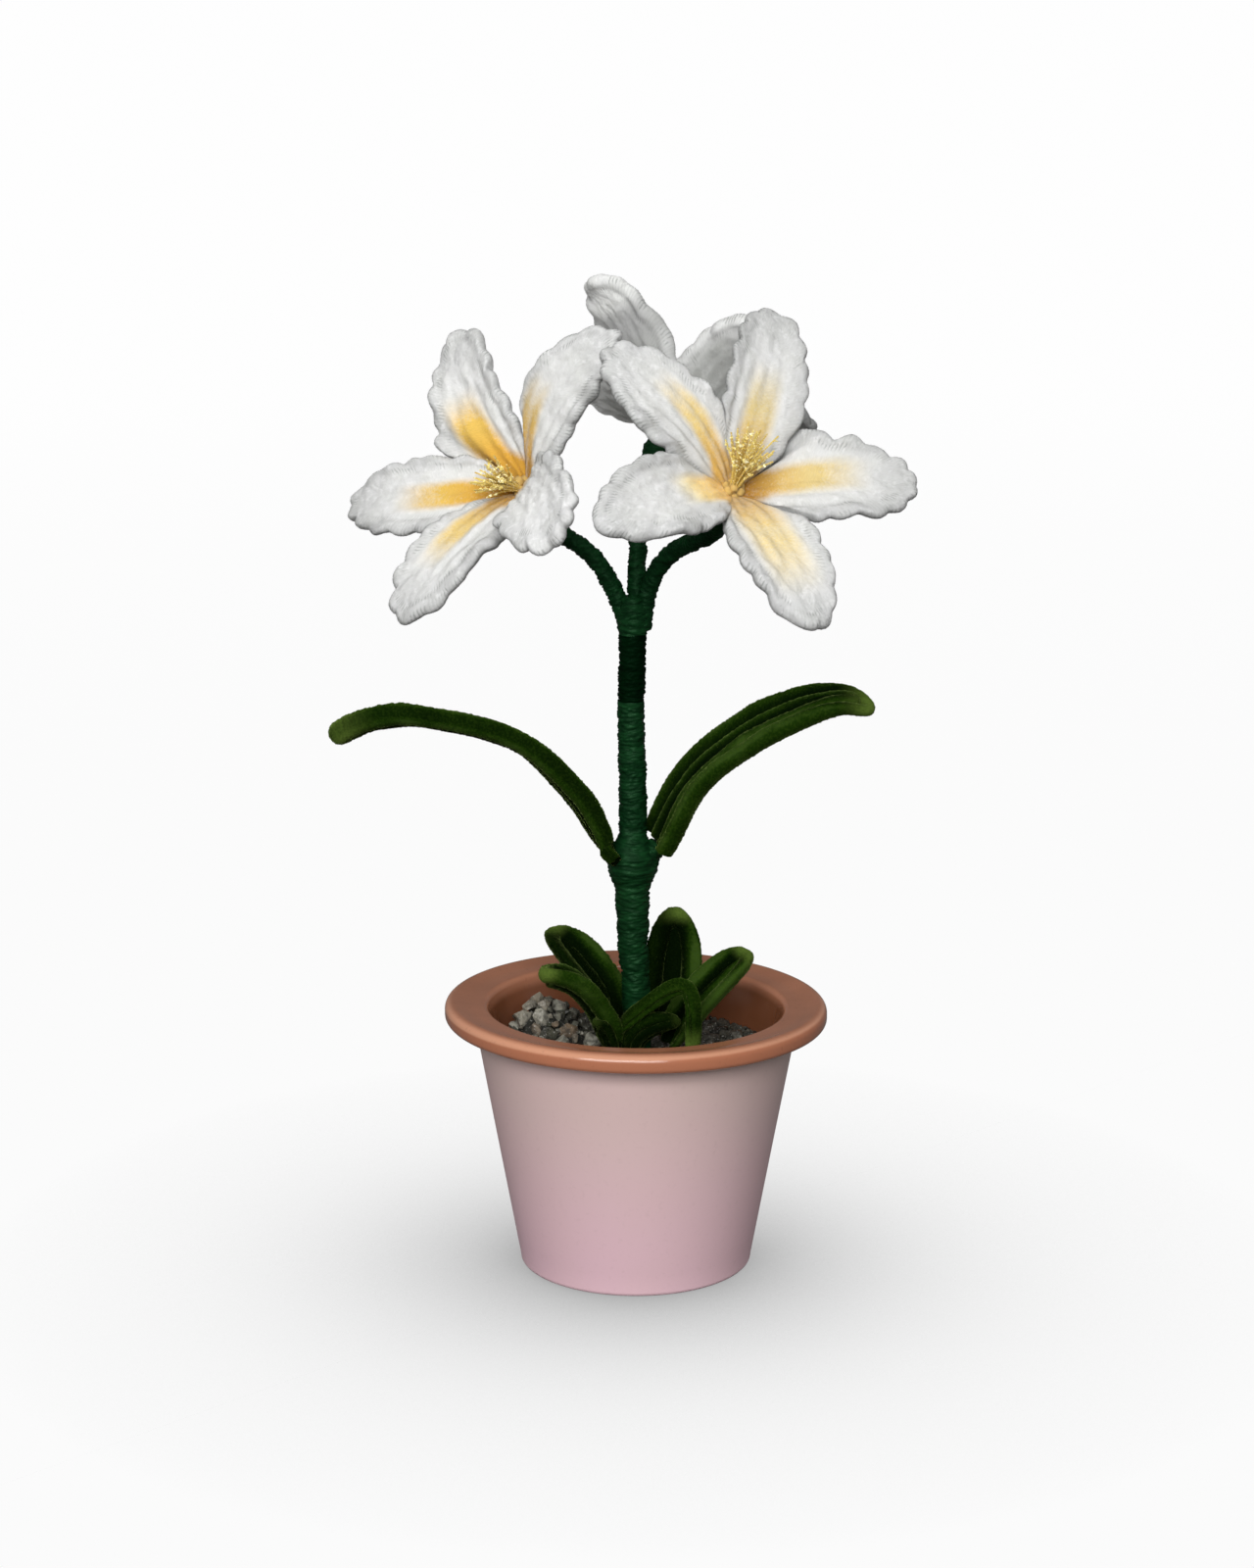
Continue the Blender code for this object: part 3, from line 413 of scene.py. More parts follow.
def new_object(name, points, faces, normals=None, fields=None, smooth_faces=True):
    """Object from points in millimetres and arrays of faces, with vertex fields."""
    mesh = bpy.data.meshes.new(name)
    points = np.asarray(points, np.float32) * MM
    corners = np.concatenate([f.ravel() for f in faces]).astype(np.int32)
    totals = np.concatenate([np.full(len(f), f.shape[1]) for f in faces])
    starts = np.concatenate([[0], np.cumsum(totals)[:-1]]).astype(np.int32)
    mesh.vertices.add(len(points))
    mesh.vertices.foreach_set("co", points.ravel())
    mesh.loops.add(len(corners))
    mesh.loops.foreach_set("vertex_index", corners)
    mesh.polygons.add(len(totals))
    mesh.polygons.foreach_set("loop_start", starts)
    mesh.update(calc_edges=True)
    mesh.validate()
    for field, values in (fields or {}).items():
        attribute = mesh.attributes.new(field, "FLOAT_VECTOR", "POINT")
        attribute.data.foreach_set("vector", np.asarray(values, np.float32).ravel())
    mesh.polygons.foreach_set("use_smooth", np.full(len(totals), smooth_faces))
    if normals is not None:
        mesh.normals_split_custom_set_from_vertices(unit(normals).tolist())
    return placed(name, mesh)


def hand_over(item, material, replaced=None):
    """Give a piece its material and its body, and hide the node it replaces."""
    item.data.materials.append(material)
    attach(item, "root")
    if replaced:
        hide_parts(replaced)


def grid_faces(rows, columns):
    """Quads of a tube's grid: rows along it, columns round it."""
    row = np.arange(rows - 1)[:, None] * columns
    column = np.arange(columns)[None, :]
    after = (column + 1) % columns
    a, b = row + column, row + after
    return stacked(a, b, b + columns, a + columns).reshape(-1, 4)


def tube_faces(rows, columns):
    """Quads of a tube's grid, and the polygons that close its ends."""
    ring = np.arange(columns)[None]
    return [grid_faces(rows, columns), ring[:, ::-1], ring + (rows - 1) * columns]


def grid_normals(grid, split=False):
    """Outward normals of a tube's grid; split where its first and last columns part."""
    along = np.gradient(grid, axis=0)
    round_it = np.roll(grid, -1, axis=1) - np.roll(grid, 1, axis=1)
    if split:
        round_it[:, 0] = grid[:, 1] - grid[:, 0]
        round_it[:, -1] = grid[:, -1] - grid[:, -2]
    return unit(np.cross(round_it, along))


def catmull(points, spacing):
    """Smooth curve through points, sampled at about even spacing."""
    points = np.asarray(points, float)
    ends = np.vstack([2 * points[0] - points[1], points, 2 * points[-1] - points[-2]])
    t = np.linspace(0, 1, 24, endpoint=False)[:, None]
    fine = []
    for a, b, c, d in zip(ends, ends[1:], ends[2:], ends[3:]):
        fine.append(0.5 * (2 * b + (c - a) * t + (2 * a - 5 * b + 4 * c - d) * t ** 2
                           + (3 * b - a - 3 * c + d) * t ** 3))
    fine = np.vstack(fine + [points[-1:]])
    return even(fine, spacing)


def even(line, spacing):
    """A polyline sampled again at even spacing."""
    run = distances(line)
    where = np.linspace(0, run[-1], max(3, round(run[-1] / spacing) + 1))
    return stacked(*(np.interp(where, run, column) for column in line.T))


def tube_grid(path, radii, sides):
    """Grid of points round a path in space; radii is (rows, sides)."""
    direction = unit(np.gradient(path, axis=0))
    side = np.cross(direction[0], (0.3, 1.0, 0.2))
    frames = []
    for ahead in direction:
        side = unit(side - ahead * side.dot(ahead))
        frames.append(side)
    side = np.array(frames)
    other = np.cross(direction, side)
    angle = np.linspace(0, math.tau, sides, endpoint=False)[None, :, None]
    return path[:, None] + radii[..., None] * (side[:, None] * np.cos(angle)
                                               + other[:, None] * np.sin(angle))


class Heap:
    """Collects shapes with their normals and fields, and makes one mesh of them."""

    def __init__(self):
        self.points, self.faces, self.normals, self.fields = [], [], [], []
        self.size = 0

    def add(self, points, faces, normals=None, fields=None):
        self.points.append(points.reshape(-1, 3))
        self.faces += [f + self.size for f in faces]
        if normals is not None:
            self.normals.append(normals.reshape(-1, 3))
        self.fields.append({k: v.reshape(-1, 3) for k, v in (fields or {}).items()})
        self.size += len(self.points[-1])

    def add_tube(self, grid, normals=None, fields=None):
        self.add(grid, tube_faces(*grid.shape[:2]), normals, fields)

    def add_chenille(self, grid, fields, *fibres, split=False):
        """A closed tube and the pile on it."""
        normals = grid_normals(grid, split)
        self.add_tube(grid, normals, fields)
        points, faces, normals, fields = pile(grid, normals, fields, *fibres)
        self.add(points, [faces], normals, fields)

    def build(self, name, smooth_faces=True):
        fields = {k: np.concatenate([f[k] for f in self.fields]) for k in self.fields[0]}
        normals = np.concatenate(self.normals) if self.normals else None
        return new_object(name, np.concatenate(self.points), self.faces, normals, fields,
                          smooth_faces)


# ---- chenille


def strip_grid(line, wide, thick, angle):
    """Flat tube round a centre line of (along, across, height)."""
    ahead = np.gradient(line, axis=0)
    ahead[:, 2] = 0
    ahead = unit(ahead)
    out = stacked(-ahead[:, 1], ahead[:, 0], 0.0)
    grid = line[:, None] + out[:, None] * (wide * np.cos(angle))[..., None]
    grid[..., 2] += thick * np.sin(angle)
    return grid


def pile(grid, normals, fields, count, fibre, keep=None):
    """Short fibres standing on a grid of points, each one thin triangle."""
    lengths, width, leans = fibre
    columns = grid.shape[1]
    area = np.linalg.norm(np.cross(np.diff(grid, axis=0), (np.roll(grid, -1, 1) - grid)[:-1]),
                          axis=-1)
    if keep is not None:
        area = area * keep
    share = np.cumsum(area.ravel())
    cell = np.searchsorted(share, rng.random(count) * share[-1])
    row, column = np.unravel_index(cell, area.shape)
    after = (column + 1) % columns
    u, v = rng.random((2, count, 1))

    def at_roots(values):
        low = blend(values[row, column], values[row, after], v)
        high = blend(values[row + 1, column], values[row + 1, after], v)
        return blend(low, high, u)

    root, normal = at_roots(grid), unit(at_roots(normals))
    loose = rng.normal(size=(count, 3))
    loose = unit(loose - normal * (loose * normal).sum(-1, keepdims=True))
    tilt = np.radians(leans[0] + (leans[1] - leans[0]) * rng.random((count, 1)))
    heading = normal * np.cos(tilt) + loose * np.sin(tilt)
    across = unit(np.cross(heading, normal))
    length = lengths[0] + (lengths[1] - lengths[0]) * rng.random((count, 1))
    half = across * width / 2
    root = root - normal * FIBRE_ROOT
    points = np.stack([root - half, root + half, root + heading * length], 1)
    faces = np.arange(3 * count).reshape(-1, 3)
    facing = np.cross(points[:, 1] - points[:, 0], points[:, 2] - points[:, 0])
    wrong = (facing * normal).sum(-1) < 0
    faces[wrong] = faces[wrong][:, ::-1]
    out = {name: np.repeat(at_roots(values), 3, axis=0) for name, values in fields.items()}
    # the blush's second part marks the fibres' tips, its third is each one's tone
    out["blush"][:, 1] = np.tile([0.0, 0.0, 1.0], count)
    out["blush"][:, 2] = np.repeat(rng.random(count), 3)
    shade = unit(normal + (0.5 * rng.random((count, 1))) * unit(rng.normal(size=(count, 3))))
    return points, faces, np.repeat(shade, 3, axis=0), out


def soft_noise(count, low, high, step=16):
    """Smooth random values along a line, one new value every few samples."""
    knots = low + (high - low) * rng.random(count // step + 4)
    return np.interp(np.arange(count) / step, np.arange(len(knots)), knots)


# ---- petals


def petal_outline(s, inset=0.0, run=1.0, broad_tip=2.35):
    """Half width of a petal's strip at an inset, as a part of its widest."""
    end = 1 - inset / run
    part = inset / PETAL_HALF
    rise = np.sin(np.pi / 2 * clamp(s / PETAL_RISE)) ** PETAL_FOOT_ROUND
    fall = ramp(s, PETAL_WIDEST, end - PETAL_WIDEST)
    tip = (1 - fall ** (broad_tip + 0.5 * part)) ** (0.54 - 0.06 * part)
    return np.where(s < PETAL_WIDEST, rise, tip)


def bloom_frame(bloom):
    """A bloom's throat, its axis, and the directions to its side and up."""
    axis = unit(bloom["axis"])
    up = unit(np.array([0, 0, 1.0]) - axis * axis[2])
    return np.array(bloom["throat"]), axis, np.cross(up, axis), up


def petal_place(bloom, number):
    """Function that bends a flat petal to its place, and the petal's run."""
    throat, axis, side, up = bloom_frame(bloom)
    (opening, length, swing, bow, bend, roll), trim = bloom["petals"][number]
    _, _, more_swing, more_bow, wider = trim[:5]
    swing += more_swing
    bow += more_bow
    turn = math.radians(bloom["turn"] + 72 * number)
    radial = turned(side, up, turn)
    tangent = np.cross(axis, radial)
    mouth = throat - axis * CUP_TO_THROAT
    angle, bend, roll = math.radians(opening), math.radians(bend), math.radians(roll)
    tip = np.array([length * math.sin(angle), length * math.cos(angle) + CUP_TO_THROAT])
    chord = np.linalg.norm(tip - PETAL_START)
    ahead = (tip - PETAL_START) / chord
    across = np.array([-ahead[1], ahead[0]])
    run = chord * bend / math.sin(bend)

    def place(flat):
        s = flat[..., 0] / run
        slope = bend * (1 - 2 * s)
        along = 0.5 * chord * (1 - np.sin(slope) / math.sin(bend))
        rise = 0.5 * chord * (np.cos(slope) - math.cos(bend)) / math.sin(bend)
        middle = PETAL_START + ahead * along[..., None] + across * rise[..., None]
        heading = ahead * np.cos(slope)[..., None] + across * np.sin(slope)[..., None]
        normal = stacked(-heading[..., 1], heading[..., 0])
        inside = clamp(s)
        half = np.maximum(PETAL_HALF * petal_outline(inside), LEAST_HALF)
        sideways = flat[..., 1]
        lift = PETAL_CAMBER * sideways ** 2 / half * np.sin(np.pi * np.minimum(inside, 0.9))
        height = lift + flat[..., 2]
        twist = roll * np.minimum(1, inside / ROLL_OVER)
        spot = middle + normal * (height * np.cos(twist) + sideways * np.sin(twist))[..., None]
        drift = swing * inside ** 1.2 + bow * np.sin(np.pi * inside)
        shift = sideways * np.cos(twist) - height * np.sin(twist) + drift

        # near its sector's edge a petal is squeezed and dips under its neighbour
        limit = math.tan(math.pi / 5) * spot[..., 0] + SECTOR_MARGIN
        limit = np.maximum(SECTOR_LEAST, limit)
        room = limit * np.where(shift * wider > 0, 1 + 1.2 * abs(wider), 1.0)
        over = np.maximum(np.abs(shift) / room - YIELD_FROM, 0)
        rest = 1 - YIELD_FROM
        squeezed = np.sign(shift) * room * (YIELD_FROM + rest * np.tanh(over / rest))
        shift = np.where(over > 0, squeezed, shift)
        away = clamp(spot[..., 0] / DIP_OUT)
        drop = DIP * clamp(over / 0.5) ** 1.5 * away
        if wider:
            beyond = (shift / limit * math.copysign(1, wider) - 0.62) / 0.6
            drop = drop + TUCK_UNDER * smooth(beyond) * away
        spot = spot - normal * drop[..., None]
        return mouth + radial * spot[..., :1] + axis * spot[..., 1:] + tangent * shift[..., None]

    return place, run


def petal_section():
    """A petal's section from its middle over the edge and back.

    In columns: inset from the rim, height, groove between strips, and whether it
    is on the upper side.
    """
    top = np.linspace(PETAL_HALF, 2.6, 24)
    edge = np.radians(np.arange(80, -81, -16))
    below = np.linspace(2.8, PETAL_HALF, 17)

    def height(inset):
        valley = (0.5 + 0.5 * np.cos(np.pi * inset / 2)) ** 1.3
        return RELIEF * valley * np.interp(inset, [2, 3.4, 8.5, 12], [0, 1, 0.9, 0.6])

    round_it = np.sin(edge)
    return np.concatenate([
        stacked(top, 1.0, height(top), 1.0),
        stacked(2.3 * (1 - np.cos(edge)), round_it, 0.0, 0.5 + 0.5 * round_it),
        stacked(below, -0.9, -0.9 * height(below), 0.0),
    ]).T


def noise_along(at, pitch, *seeds):
    return np.array([noise.noise((k * pitch, *seeds)) for k in at])


def petal_lumps(flat, seed):
    """Lumps of the pile: long soft ones, finer ones and grain."""
    def lump(x, y):
        return (noise.noise((x * 0.21 + seed, y * 0.30, 0.0))
                + 0.30 * noise.noise((x * 0.60, y * 0.75 + seed, 4.0))
                + 0.16 * noise.noise((x * 2.1, y * 2.1, seed)))

    return np.array([[lump(x, y) for x, y, _ in row] for row in flat])


def petal_flat(bloom, number, run):
    """A petal laid out flat, with its section's inset and side and the run of its rim."""
    long, broad, _, _, wider, ruffle, wider_at, broad_tip = bloom["petals"][number][1]
    inset, level, groove, upper = petal_section()
    rise = np.sin(np.linspace(0, np.pi / 2, PETAL_ROWS))
    end = 1 - inset / run
    s = PETAL_FOOT + (end - PETAL_FOOT)[None] * rise[:, None]
    y = (PETAL_HALF - inset) * petal_outline(s, inset, run, broad_tip)
    s = np.vstack([s, s[::-1][1:]])
    y = np.vstack([y, -y[::-1][1:]])
    bulge = np.exp(-((s - wider_at) / BULGE_LENGTH) ** 2)
    y = y * broad * np.where(y * wider > 0, 1 + abs(wider) * bulge, 1.0)
    flat = stacked(s * run * long, y, 0.0)
    rim = flat[:, np.argmin(inset)]
    at = distances(rim)
    ahead = unit(np.gradient(rim, axis=0))
    out = stacked(-ahead[:, 1], ahead[:, 0])

    # ruffled edge, and each strip's own swelling
    seed = 17.0 * number + 5.0 * bloom["turn"]
    wander = noise_along(at, 0.055, seed, 0.0)
    wave = noise_along(at, 0.13, seed, 9.0)
    size = 0.85 + 0.9 * noise_along(at, 0.09, seed, 5.0)
    lobe = np.sqrt(np.sin(np.pi * at / LOBE_LENGTH + 1.7 * wander) ** 2 + 0.02) - 0.6
    lobe = size * lobe
    fuller = ramp(rim[:, 0] / run, 0.10, 0.25)
    hold = clamp(1 - inset / 5) ** 1.2
    push = ((LOBE_REACH * ruffle * lobe + 1.4 * wander) * fuller)[:, None] * hold
    flat[..., :2] += push[..., None] * out[:, None]
    swell = 0.55 + 0.45 * np.minimum(1, petal_outline(np.minimum(s, PETAL_WIDEST)))
    lumps = petal_lumps(flat, seed)
    thick = PETAL_THICK * swell * (1 + 0.25 * lumps + 0.14 * (lobe * fuller)[:, None] * hold)
    fold = level - groove * (1 - ramp(s, 0.5, 0.3) * 0.85) * (0.9 + 0.7 * lumps)
    wavy = (EDGE_WAVE * wave * fuller)[:, None] * clamp(1 - inset / 7)
    flat[..., 2] = fold * thick + wavy
    return flat, s, inset, upper, at


def petal_fields(name, blush, painted_lightness, flat, s, inset, upper, at):
    """What the petal's material reads: place, strip, blush and tint at each point."""
    length, width, strength, offset, double, warm, foot, glow = blush
    across = np.abs(flat[..., 1] / PETAL_HALF - offset * clamp(s / 0.4))
    fade = smooth((length * 1.12 - s) / (length * 0.5))
    reach = width * (0.7 + 0.3 * clamp(s / 0.3)) + 0.5 * clamp(1 - s / 0.2)
    middle = smooth((reach * 1.25 - across) / (reach * 0.8))
    middle = middle * (1 - double * np.exp(-(across / 0.075) ** 2))
    yellow = strength * fade * middle * upper
    far = ramp(s, 0.18, 0.22)[..., None]
    pale, hot = blend(PALE_NEAR, PALE_FAR, far), blend(WARM_NEAR, WARM_FAR, far)
    deep = (foot * clamp((0.25 - s) / 0.20))[..., None]
    tint = blend(glow * blend(pale, hot, warm), FOOT_BROWN, deep)
    # the hollow's tone, darker on the back bloom and lighter on the front ones, is painted shade
    # and light; a folded tip is painted lighter
    hollow = smooth((inset - 1.0) / 5.5) * smooth((PALE_FROM.get(name, 0.95) - s) / 0.33)
    folded = TIP_LIGHT.get(name, 0) * smooth((s - 0.70) / 0.13)
    folded = folded * (0.4 + 0.6 * smooth((inset - 1.5) / 3))
    valley = np.abs(2 * ((inset / 4.0) % 1.0) - 1)
    return {"place": stacked(s, hollow, painted_lightness * (1 + folded)),
            "strip": stacked(at[:, None], inset, valley),
            "blush": stacked(yellow, 0.0, 0.5),
            "tint": tint}


def build_petal(bloom_name, number, material):
    """One petal: three loops of chenille in each other, grown together by their pile."""
    name = f"petal_{bloom_name}_{number + 1}"
    place, run = petal_place(BLOOMS[bloom_name], number)
    flat, s, inset, upper, at = petal_flat(BLOOMS[bloom_name], number, run)
    fields = petal_fields(name, BLUSH[bloom_name][number], PAINTED_LIGHTNESS[bloom_name][number],
                          flat, s, inset, upper, at)
    thicket = np.interp(inset, [0, 2, 5, 12], [1.6, 1.2, 0.8, 0.6])
    heap = Heap()
    heap.add_chenille(place(flat), fields, PETAL_FIBRES[bloom_name][number], PETAL_PILE,
                      thicket * np.where(upper > 0.3, 1.0, 0.5), split=True)
    hand_over(heap.build("chenille_" + name), material, name)


def build_knob(name, bloom, material):
    """Lumpy yellow knot of pile that closes a bloom's throat."""
    throat, axis, side, up = bloom_frame(bloom)
    heap = Heap()
    for number, (turn, away, deep, radius) in enumerate(KNOB):
        middle = throat + axis * deep + turned(side, up, turn) * away
        tilt = np.linspace(-1, 1, 12)
        path = middle + axis * (tilt * radius)[:, None]
        size = radius * np.sqrt(np.maximum(0.02, 1 - tilt ** 2))[:, None]
        size = size * (1 + 0.06 * rng.normal(size=(len(tilt), STRIP_SIDES)))
        grid = tube_grid(path, size, STRIP_SIDES)
        fields = {"place": (0.33, 1.0, 1.0), "strip": (7.0 * number, 6.0, 0.0),
                  "blush": (1.3, 0.0, 0.5), "tint": (0.62, 0.43, 0.14)}
        fields = {key: np.full(grid.shape, value) for key, value in fields.items()}
        heap.add_chenille(grid, fields, KNOB_FIBRES, KNOB_PILE)
    hand_over(heap.build("throat_knob_" + name), material)


# ---- leaves


def leaf_outline(s, end, base, taper=2.8):
    """Half width of a leaf, as a part of its widest."""
    rise = np.sin(np.pi / 2 * np.minimum(1, s / LEAF_RISE)) ** LEAF_FOOT_ROUND
    rise = base + (1 - base) * rise
    fall = ramp(s, LEAF_FALL, end - LEAF_FALL)
    return rise * np.sqrt(1 - fall ** taper)


def leaf_place(path, width, trough, base, facing):
    """Function that bends a flat leaf along its midrib, and the leaf's run."""
    route = catmull(path, 0.7)
    ahead = unit(np.gradient(route, axis=0))
    run = np.linalg.norm(np.diff(route, axis=0), axis=1).sum()
    where = np.linspace(0, run, len(route))
    normal = unit(facing - ahead * (ahead @ facing)[:, None])
    side = np.cross(ahead, normal)

    def place(flat):
        along = flat[..., 0]
        inside = np.clip(along, 0, run)

        def read(values):
            return stacked(*(np.interp(inside, where, column) for column in values.T))

        half = np.maximum(width / 2 * leaf_outline(inside / run, 1.02, base), 1.0)
        lift = trough * np.minimum(flat[..., 1] ** 2 / half, 2 * half)
        spot = read(route) + read(ahead) * (along - inside)[..., None]
        return spot + read(side) * flat[..., 1:2] + read(normal) * (lift + flat[..., 2])[..., None]

    return place, run


def loop_line(run, half, inset, base, taper):
    """Centre line of one loop of a leaf: up one side, round the tip, down the other."""
    end = 1 - inset / run
    s = end - end * (1 - np.sin(np.linspace(0, np.pi / 2, 160)))
    shape = (half - inset) * leaf_outline(s, end, base, taper)
    side = stacked(s * run, shape, 0.0)
    mirrored = side * (1, -1, 1)
    return even(np.vstack([side, mirrored[::-1][1:]]), LEAF_STEP)


def build_leaf(name, path, width, double, trough, base, hollow, material, fibres, half_thick,
               light, end):
    """One leaf: two nested loops of chenille, or one with a strip down its middle."""
    place, run = leaf_place(path, width, trough, base, np.asarray(hollow, float))
    left, right, inner_light, outward, inward = light
    swell_tip, taper = end
    heap = Heap()
    pitch = width / 4 if double else width / 3
    angle = np.linspace(0, math.tau, STRIP_SIDES, endpoint=False)
    for inner in (False, True):
        middle = inner and not double
        if middle:
            s = np.linspace(0.0, 1 - 0.24 * width / run, 60)
            line = even(stacked(s * run, 0.0, 0.0), LEAF_STEP)
        else:
            line = loop_line(run, width / 2, pitch * (1.5 if inner else 0.5), base, taper)
        count = len(line)
        share = line[:, 0] / run
        swell = base + (1 - base) * clamp(share / 0.22) ** 0.6
        at_tip = max(swell_tip, 0.0) if inner else swell_tip
        swell = swell * (1 + at_tip * ramp(share, 0.72, 0.26))
        swell = np.maximum(0.6, swell) * soft_noise(count, 0.95, 1.05)
        line[:, 2] += soft_noise(count, -0.25, 0.25) - MIDDLE_DROP * middle
        line[:, 1] += soft_noise(count, -0.2, 0.2)
        rough = 1 + 0.03 * rng.normal(size=(count, STRIP_SIDES))
        wide = (MIDDLE_WIDE if middle else RIM_WIDE) * pitch * swell[:, None] * rough
        thick = half_thick * (0.85 if inner else 1.0) * swell[:, None] * rough
        flat = strip_grid(line, wide, thick, angle)

        s = flat[..., 0] / run
        y = flat[..., 1] / (width / 2)
        top, side = 0.5 + 0.5 * np.sin(angle), np.cos(angle)
        # painted light of each strip: lighter on one half, darker on the rim's outward face,
        # lighter on its inward face
        lit = np.interp(y, [-0.4, 0.4], (left, right)) * (1 - outward * ramp(side, 0.55, 0.4))
        lit = lit * (1 + inward * clamp(-side / 0.6))
        if inner:
            y = y + (1 if middle else np.sign(y)) * inner_light
        along = LEAF_STEP * np.arange(count)[:, None]
        fields = {"place": stacked(s, y, top), "strip": stacked(along, side, lit),
                  "blush": np.full(flat.shape, (0.0, 0.0, 0.5))}
        heap.add_chenille(place(flat), fields, fibres[inner], LEAF_PILE)
    hand_over(heap.build("chenille_" + name), material, name)


# ---- materials


class Nodes:
    """Wires the nodes of one tree."""

    def __init__(self, tree):
        self.tree = tree

    def put(self, socket, value):
        """Set or link one input."""
        if isinstance(value, bpy.types.NodeSocket):
            self.tree.links.new(value, socket)
        elif isinstance(value, tuple) and len(value) == 3 and socket.type == "RGBA":
            socket.default_value = (*value, 1)
        else:
            socket.default_value = value

    def node(self, kind, inputs=None, **settings):
        made = self.tree.nodes.new("ShaderNode" + kind)
        for key, value in settings.items():
            setattr(made, key, value)
        for key, value in (inputs or {}).items():
            self.put(made.inputs[key], value)
        return made

    def value(self, *args, **settings):
        """The first output of a new node."""
        return self.node(*args, **settings).outputs[0]

    def vector(self, name):
        """A vertex field."""
        return self.node("Attribute", attribute_name=name).outputs["Vector"]

    def split(self, vector):
        return self.node("SeparateXYZ", {0: vector}).outputs

    def joined(self, x, y, z=0.0):
        return self.value("CombineXYZ", {0: x, 1: y, 2: z})

    def field(self, name):
        """The three parts of a vertex field."""
        return self.split(self.vector(name))

    def place(self, stretch=(1, 1, 1)):
        """Where a point is on its object, in metres."""
        raw = self.node("TexCoord").outputs["Object"]
        return self.value("Mapping", {"Vector": raw, "Scale": stretch})

    def noise(self, scale, detail=2.0, roughness=0.5, vector=None, distortion=0.0):
        inputs = {"Vector": vector or self.place(), "Scale": scale, "Detail": detail,
                  "Roughness": roughness, "Distortion": distortion}
        return self.value("TexNoise", inputs)

    def math(self, operation, a, b=0.5, c=0.5):
        return self.value("Math", {0: a, 1: b, 2: c}, operation=operation)

    def times(self, first, *others):
        """Product of two or more values."""
        for other in others:
            first = self.math("MULTIPLY", first, other)
        return first

    def scaled(self, value, by, plus):
        """A value times one more, plus a third."""
        return self.math("MULTIPLY_ADD", value, by, plus)

    def fade(self, value, low, high, to_low=0.0, to_high=1.0, kind="SMOOTHSTEP"):
        """Smooth step of a value from one level to another."""
        inputs = {"Value": value, "From Min": low, "From Max": high,
                  "To Min": to_low, "To Max": to_high}
        return self.value("MapRange", inputs, interpolation_type=kind)

    def mix(self, share, a, b, blend_type="MIX"):
        made = self.node("Mix", {0: share, 6: a, 7: b}, data_type="RGBA", blend_type=blend_type)
        return made.outputs[2]

    def dyed(self, colour, dye):
        """One colour multiplied by another."""
        return self.mix(1.0, colour, dye, "MULTIPLY")

    def ramp(self, value, *stops):
        """Colour by value, from stops of (place, colour)."""
        made = self.node("ValToRGB", {"Fac": value})
        elements = made.color_ramp.elements
        while len(elements) < len(stops):
            elements.new(1.0)
        for element, (place, colour) in zip(elements, stops):
            element.position = place
            element.color = (*colour, 1)
        return made.outputs[0]


class Look(Nodes):
    """One procedural material."""

    def __init__(self, name, shown, roughness, specular, **sockets):
        self.material = bpy.data.materials.new(name)
        self.material.use_nodes = True
        super().__init__(self.material.node_tree)
        self.shader = self.tree.nodes["Principled BSDF"]
        self.material.diffuse_color = (*shown, 1)
        self.set(Roughness=roughness, Specular_IOR_Level=specular, Base_Color=shown, **sockets)

    def set(self, **sockets):
        for socket, value in sockets.items():
            self.put(self.shader.inputs[socket.replace("_", " ")], value)

    def finish(self, colour, bump=None, roughness=None):
        """Link the colour, and the bump as (height, strength, distance in millimetres)."""
        self.set(Base_Color=colour)
        if roughness is not None:
            self.set(Roughness=roughness)
        if bump:
            height, strength, distance = bump
            inputs = {"Height": height, "Strength": strength, "Distance": distance * MM}
            self.set(Normal=self.node("Bump", inputs).outputs[0])
        return self.material


